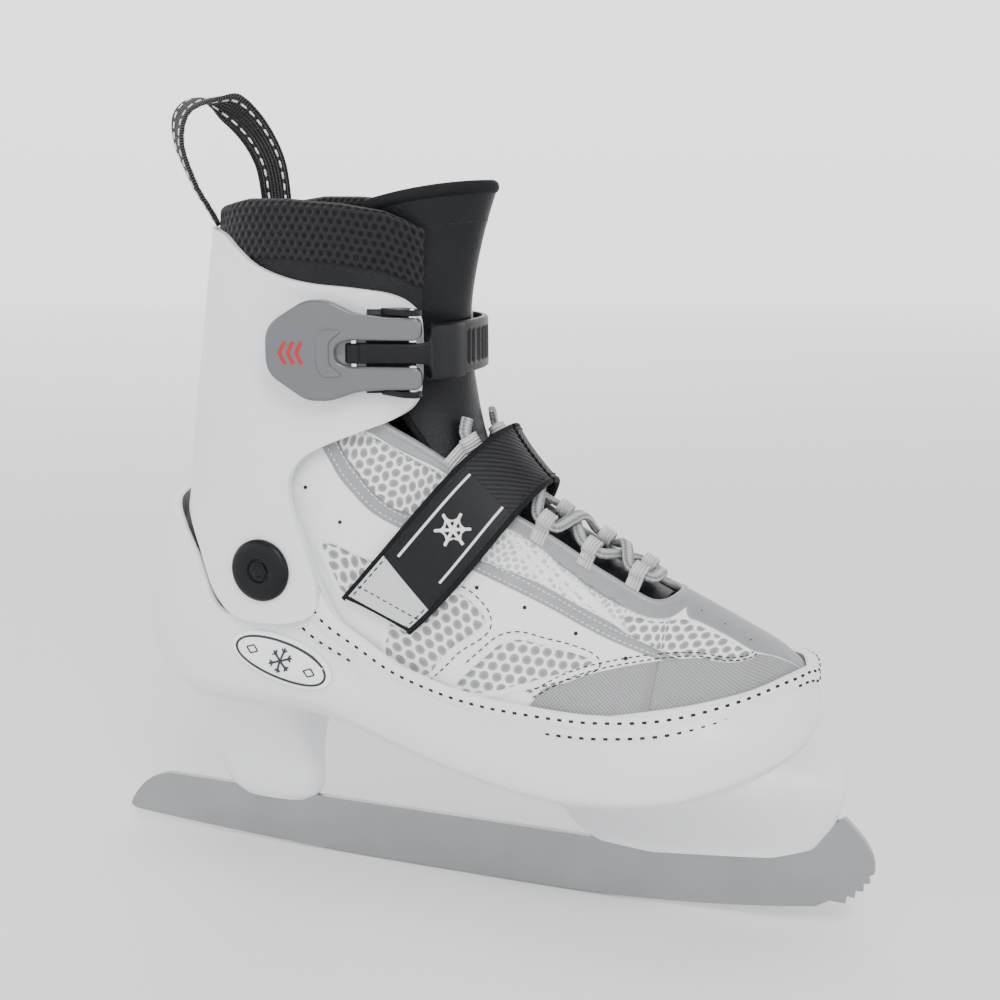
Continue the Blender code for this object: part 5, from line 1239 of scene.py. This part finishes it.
def rounded(outline, radius, count=8):
    """Outline with each corner turned into a curve of the given reach."""
    out = []
    for before, corner, after in zip(np.roll(outline, 1, axis=0), np.array(outline, float),
                                     np.roll(outline, -1, axis=0)):
        ends = []
        for other in (before, after):
            length = np.linalg.norm(other - corner)
            ends.append(corner + (other - corner) / length * min(radius, length / 2.05))
        for t in np.linspace(0, 1, count):
            out.append(tuple(ends[0] * (1 - t) ** 2 + corner * 2 * t * (1 - t) + ends[1] * t * t))
    return out


def make_lever():
    """Forked lever with its raised ridge, chevrons and pins."""
    lever = prism("lever_body", rounded(LEVER_OUTLINE, 3.4), -2.4, 2.5, at_buckle, GREY, bevel=1.1,
                  segments=4)
    finish_piece(lever, "lever", "grey_gloss", "buckle_lever")
    ridge = prism("lever_ridge", rounded(LEVER_RIDGE, 1.6, 5), 2.2, 3.1, at_buckle, GREY, bevel=0.4)
    finish_piece(ridge, "lever", "grey_gloss")
    for index, a in enumerate((38.5, 41.5, 44.5), start=1):
        mark = [(a, 4.0), (a + 1.5, 4.0), (a + 3.4, 0.0), (a + 1.5, -4.0), (a, -4.0), (a + 1.9, 0.0)]
        finish_piece(prism(f"lever_chevron_{index}", mark, 2.3, 2.56, at_buckle, RED), "lever", "grey_gloss")
    for label, low, high in (("upper", 3.9, 15.7), ("lower", -15.7, -3.9)):
        profile = [(low, 1.2), (low + 0.3, 1.55), (high - 0.3, 1.55), (high, 1.2)]
        pin = turned(f"hinge_pin_{label}", profile, HINGE, (0, 0, 1), CHROME)
        finish_piece(pin, "cuff", "chrome", f"lever_pin_{label}")
    pin = turned("pull_pin", [(-8.4, 1.0), (-8.1, 1.33), (8.1, 1.33), (8.4, 1.0)],
                 at_buckle(LINK_PIN_ARM, 0, 0), (0, 0, 1), CHROME)
    finish_piece(pin, "lever", "chrome", "link_pin")


LINK_PATH = [
    (-26.6, -43.9, 3.5), (-22.0, -42.6, 3.6), (-17.6, -41.4, 3.6), (-8.8, -38.8, 3.6), (-3.6, -36.7, 3.6),
    (-1.4, -34.8, 4.4), (-0.9, -33.6, 9.2), (0.5, -31.0, 9.8), (2.0, -27.5, 9.8), (4.0, -22.5, 9.8),
    (5.0, -17.5, 9.4)]


def make_link():
    """Pull link: a bar that widens to a T, with its eye."""
    path = smooth_path(LINK_PATH, 90)
    tangent = unit(np.gradient(path[:, :2], axis=0))
    outline = [(1.5 * signed_power(math.sin(t), 0.4), signed_power(math.cos(t), 0.22))
               for t in np.linspace(0, 2 * math.pi, 40, endpoint=False)]
    rings = [[(x + dy * a, y - dx * a, HINGE[2] + half * b) for a, b in outline]
             for (x, y, half), (dx, dy) in zip(path, tangent)]
    finish_piece(sweep("link_body", rings, BLACK), "link", "black_plastic", "pull_link")
    eye = turned("link_eye", [(-3.5, 2.5), (-3.1, 3.05), (3.1, 3.05), (3.5, 2.5)],
                 at_buckle(LINK_PIN_ARM, 0, 0), (0, 0, 1), BLACK)
    finish_piece(eye, "link", "black_plastic")


def cuff_plate(name, psi0, psi1, z0, z1, low, high, body, slot, node, ribs=None, counts=(40, 30)):
    psi = np.linspace(psi0, psi1, counts[0])[:, None]
    z = np.linspace(z0, z1, counts[1])[None, :]
    place = np.broadcast_to(psi, (counts[0], counts[1])), np.broadcast_to(z, (counts[0], counts[1]))
    rise = 0 * z if ribs is None else ribs(psi, z)
    edge = np.minimum(np.abs(z - z0), np.abs(z - z1))
    ease = 0.7 * (1 - np.sqrt(np.clip(1 - (1 - np.minimum(edge / 0.9, 1)) ** 2, 0, 1)))
    outer = cuff_surface(*place, -(high + rise - ease))
    inner = cuff_surface(*place, -(low + 0 * place[1]))
    plate = slab(name, outer, inner, BLACK, smooth_angle=50)
    return finish_piece(plate, body, slot, *([node] if node else []))


def ears(name, outline, radius, levels):
    """Pair of small plates that hold a pin, one above and one below."""
    for label, (low, high) in levels.items():
        piece = prism(f"{name}_{label}", rounded(outline, radius, 5), low, high,
                      lambda a, b, depth: (a, b, depth), BLACK, bevel=0.3)
        finish_piece(piece, "cuff", "black_plastic")


def make_ladder():
    """Ribbed ratchet strap, its eye and pin, and the bracket on the inner side."""
    def ribs(psi, z):
        wave = 0.5 + 0.5 * np.cos(psi * 2 * math.pi / 0.062)
        inside_band = smooth_step(np.minimum(z - LADDER_Z[0], LADDER_Z[1] - z), 3.0, 3.8)
        clear = 1 - smooth_step(psi, 0.95, 1.0)
        return -0.75 * wave * inside_band * clear
    cuff_plate("ladder_band", -0.52, LADDER_PIN_PSI - 0.02, *LADDER_Z, 0.9, 3.0, "ladder", "black_plastic",
               "ladder_strap", ribs=ribs, counts=(420, 40))
    pin = cuff_surface(LADDER_PIN_PSI, HINGE[2], -4.2)
    base = (pin[0], pin[1], 0)
    eye = turned("ladder_eye", [(LADDER_Z[0], 2.7), (LADDER_Z[0] + 0.5, 3.25), (LADDER_Z[1] - 0.5, 3.25),
                                (LADDER_Z[1], 2.7)], base, (0, 0, 1), BLACK)
    finish_piece(eye, "ladder", "black_plastic")
    low, high = LADDER_Z[0] - 2.8, LADDER_Z[1] + 2.8
    pin_piece = turned("ladder_axle", [(low, 1.1), (low + 0.4, 1.5), (high - 0.4, 1.5), (high, 1.1)], base,
                       (0, 0, 1), CHROME)
    finish_piece(pin_piece, "cuff", "chrome", "ladder_pin")
    cuff_plate("bracket_plate", LADDER_PIN_PSI + 0.12, LADDER_PIN_PSI + 0.52, LADDER_Z[0] - 2.6,
               LADDER_Z[1] + 2.6, 0.1, 2.2, "cuff", "black_plastic", "ladder_bracket")
    root = cuff_surface(LADDER_PIN_PSI + 0.16, HINGE[2], -1.2)
    back = cuff_surface(LADDER_PIN_PSI + 0.42, HINGE[2], -1.2)
    ear = [tuple(root[:2]), (pin[0] + 3.0, pin[1] - 1.6), (pin[0] + 3.0, pin[1] + 2.4),
           (pin[0] - 2.6, pin[1] + 3.2), tuple(back[:2])]
    ears("bracket_ear", ear, 1.2, {"lower": (LADDER_Z[0] - 2.6, LADDER_Z[0] - 0.5),
                                   "upper": (LADDER_Z[1] + 0.5, LADDER_Z[1] + 2.6)})


def make_buckle_base():
    """Plate and ears on the cuff that carry the lever."""
    cuff_plate("buckle_plate", -0.66, -1.02, 194.2, 223.8, 0.1, 2.0, "cuff", "black_plastic", "buckle_base")
    root = cuff_surface(-0.72, HINGE[2], 0.0)
    tail = cuff_surface(-0.92, HINGE[2], 0.0)
    ear = [tuple((root + OUTWARD * 0.9)[:2]), (HINGE[0] + 3.2, HINGE[1] + 1.5),
           (HINGE[0] + 2.4, HINGE[1] - 2.6), (HINGE[0] - 2.8, HINGE[1] - 3.0),
           tuple((tail + OUTWARD * 0.9)[:2])]
    ears("buckle_ear", ear, 1.4, {"upper": (HINGE[2] + 13.2, HINGE[2] + 15.4),
                                  "lower": (HINGE[2] - 15.4, HINGE[2] - 13.2)})


def make_cuff_rivets():
    """Domed rivets square to the cuff's face."""
    for name, psi, z, reach in (("base_rivet_1", -0.88, 200.0, 2.3), ("base_rivet_2", -0.88, 218.0, 2.3),
                                ("bracket_rivet", LADDER_PIN_PSI + 0.42, HINGE[2], 2.5)):
        place = cuff_surface(psi, z)
        axis = unit(np.cross(cuff_surface(psi + 0.05, z) - cuff_surface(psi - 0.05, z),
                             cuff_surface(psi, z + 2) - cuff_surface(psi, z - 2)))
        profile = [(-2.6, 1.5), (reach - 0.2, 1.5), (reach - 0.2, 3.2), (reach + 0.2, 3.2),
                   (reach + 0.7, 2.8), (reach + 1.1, 1.9), (reach + 1.2, 0.8)]
        finish_piece(turned(f"dome_{name}", profile, place, axis, CHROME), "cuff", "chrome", name)


# ------------------------------------------------------------------ badge
BADGE_CENTRE = np.array([-59.0, 92.5])
BADGE_TILT = math.radians(-15)


def make_badge():
    """Oval plate on the shell with a ring, a snowflake and two diamonds."""
    rings = shell_rings(120, 0.0, np.linspace(1, 4, 49))[:, 4:117].reshape(-1, 3)

    def face(a, b, lift):
        """Point over the outer side of the shell, from badge coordinates in mm."""
        x = BADGE_CENTRE[0] + a * math.cos(BADGE_TILT) - b * math.sin(BADGE_TILT)
        z = BADGE_CENTRE[1] + a * math.sin(BADGE_TILT) + b * math.cos(BADGE_TILT)
        gap = (rings[:, 0] - x) ** 2 + (rings[:, 2] - z) ** 2
        near = np.argsort(gap)[:6]
        weight = 1 / (gap[near] + 0.5)
        return np.array([x, float((rings[near, 1] * weight).sum() / weight.sum()) - lift, z])

    def band(name, outline_a, outline_b, lifts, material):
        turn = np.linspace(0, 2 * math.pi, 96, endpoint=False)
        grid = [[face(a * math.cos(t), b * math.sin(t), lift) for t in turn]
                for (a, b), lift in zip(zip(outline_a, outline_b), lifts)]
        plate = name == "badge_plate"
        piece = sweep(name, grid, material, closed=not plate, smooth_angle=50)
        finish_piece(piece, "boot", "badge_white", *(["shell_badge"] if plate else []))
    band("badge_plate", (21.2, 21.5, 21.2, 20.4, 14.0, 7.0, 1.5), (8.3, 8.6, 8.3, 7.6, 5.0, 2.5, 0.6),
         (0.3, 0.8, 1.2, 1.4, 1.4, 1.4, 1.4), BADGE)
    band("badge_ring", (19.6, 19.6, 18.6, 18.6), (7.0, 7.0, 6.0, 6.0), (1.3, 1.5, 1.5, 1.3), INK)
    for turn in range(3):
        angle = math.radians(60 * turn + 30)
        arm = [(math.cos(angle) * d, math.sin(angle) * d) for d in np.linspace(-4.6, 4.6, 12)]
        line = np.array([face(a, b, 1.42) for a, b in arm])
        finish_piece(tube(f"badge_flake_{turn + 1}", line, 0.42, INK), "boot", "badge_white")
        for label, sign in (("a", 1), ("b", -1)):
            tip = [(math.cos(angle) * 3.0 * sign + math.cos(angle + bend) * sign * d,
                    math.sin(angle) * 3.0 * sign + math.sin(angle + bend) * sign * d)
                   for bend, d in ((0.8, 1.6), (0.0, 0.0), (-0.8, 1.6))]
            line = even_path(np.array([face(a, b, 1.42) for a, b in tip]), 10)
            finish_piece(tube(f"badge_tip_{turn + 1}{label}", line, 0.34, INK), "boot", "badge_white")
    for label, centre in (("front", 12.5), ("rear", -12.5)):
        mark = [(centre + 2.4, 0.0), (centre, 1.5), (centre - 2.4, 0.0), (centre, -1.5), (centre + 2.4, 0.0)]
        line = even_path(np.array([face(a, b, 1.42) for a, b in mark]), 40)
        finish_piece(tube(f"badge_diamond_{label}", line, 0.3, INK), "boot", "badge_white")


# ------------------------------------------------------------------ set
BACKDROP_GLOW = 1.0            # keeps the far backdrop as pale as the lit floor
LIGHTS = [("key", (0.9, -1.5, 1.7), 0.9, 36.0), ("fill", (-1.6, -1.2, 1.2), 1.6, 6.0),
          ("top", (-0.2, 0.2, 2.2), 1.4, 22.0), ("rim", (-0.9, 1.6, 1.3), 1.2, 9.0)]
BACKDROP_PROFILE = [(0.5, 0), (300, 0), (900, 0), (2200, 0), (3000, 0), (3500, 60), (3800, 240),
                    (3950, 560), (4000, 1000), (4000, 2600)]


def make_set():
    """Floor that curves up into a backdrop, soft lights, world and camera."""
    made = Shader("studio_backdrop", (0.82, 0.82, 0.82), 0.9)
    reach = made.vector("LENGTH", made.place(), output="Value")
    far = made.edge(reach, 1.9, 1.2)
    glow = made.math("MULTIPLY", far, BACKDROP_GLOW)
    made.link("Emission Strength", glow)
    turn = np.linspace(0, 2 * math.pi, 96, endpoint=False)
    grid = [[(r * math.cos(t), r * math.sin(t), z - 0.2) for t in turn]
            for r, z in BACKDROP_PROFILE]
    points = np.array(grid).reshape(-1, 3)
    faces = strip_faces(len(grid), len(turn), closed_v=True) + [tuple(range(len(turn)))]
    new_object("studio_backdrop", points, faces, made.material, smooth_angle=180)
    world = bpy.data.worlds.new("studio")
    world.use_nodes = True
    world.node_tree.nodes["Background"].inputs["Color"].default_value = (0.90, 0.91, 0.93, 1)
    world.node_tree.nodes["Background"].inputs["Strength"].default_value = 0.38
    bpy.context.scene.world = world
    for name, place, size, power in LIGHTS:
        light = bpy.data.lights.new(name, "AREA")
        light.energy = power
        light.size = size
        lamp = bpy.data.objects.new(name, light)
        lamp.location = place
        lamp.rotation_euler = (Vector((0, 0, 0.12)) - Vector(place)).to_track_quat("-Z", "Y").to_euler()
        bpy.context.collection.objects.link(lamp)
    view = bpy.data.cameras.new("camera")
    view.lens = 57.7
    view.sensor_width = 36.0
    camera = bpy.data.objects.new("camera", view)
    camera.location = (0.2231, -0.5492, 0.2704)
    camera.rotation_euler = (math.radians(90 - 11.48), 0.0, math.radians(20.97))
    bpy.context.collection.objects.link(camera)
    bpy.context.scene.camera = camera


def paint_hidden_nodes():
    """Finishes for the CAD nodes that stay, deep inside the boot."""
    for prefix, finish in (("footbed", LINING), ("lasting_board", LINING), ("sole_bolt", STEEL),
                           ("pivot_washer", STEEL), ("pivot_nut", STEEL)):
        for name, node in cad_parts.items():
            if name.startswith(prefix):
                node.data.materials.clear()
                node.data.materials.append(finish)


make_shell()
make_towers()
make_blade()
make_upper_half("upper_lateral", -1, ("lateral_quarter", "vamp"))
make_upper_half("upper_medial", 1, ("medial_quarter",))
make_rand()
make_upper_details()
make_tongue()
make_lining()
make_laces()
make_loops()
make_straps()
make_cuff()
make_pivots()
make_collar()
make_pull_loop()
make_lever()
make_link()
make_ladder()
make_buckle_base()
make_cuff_rivets()
make_badge()
paint_hidden_nodes()
make_set()
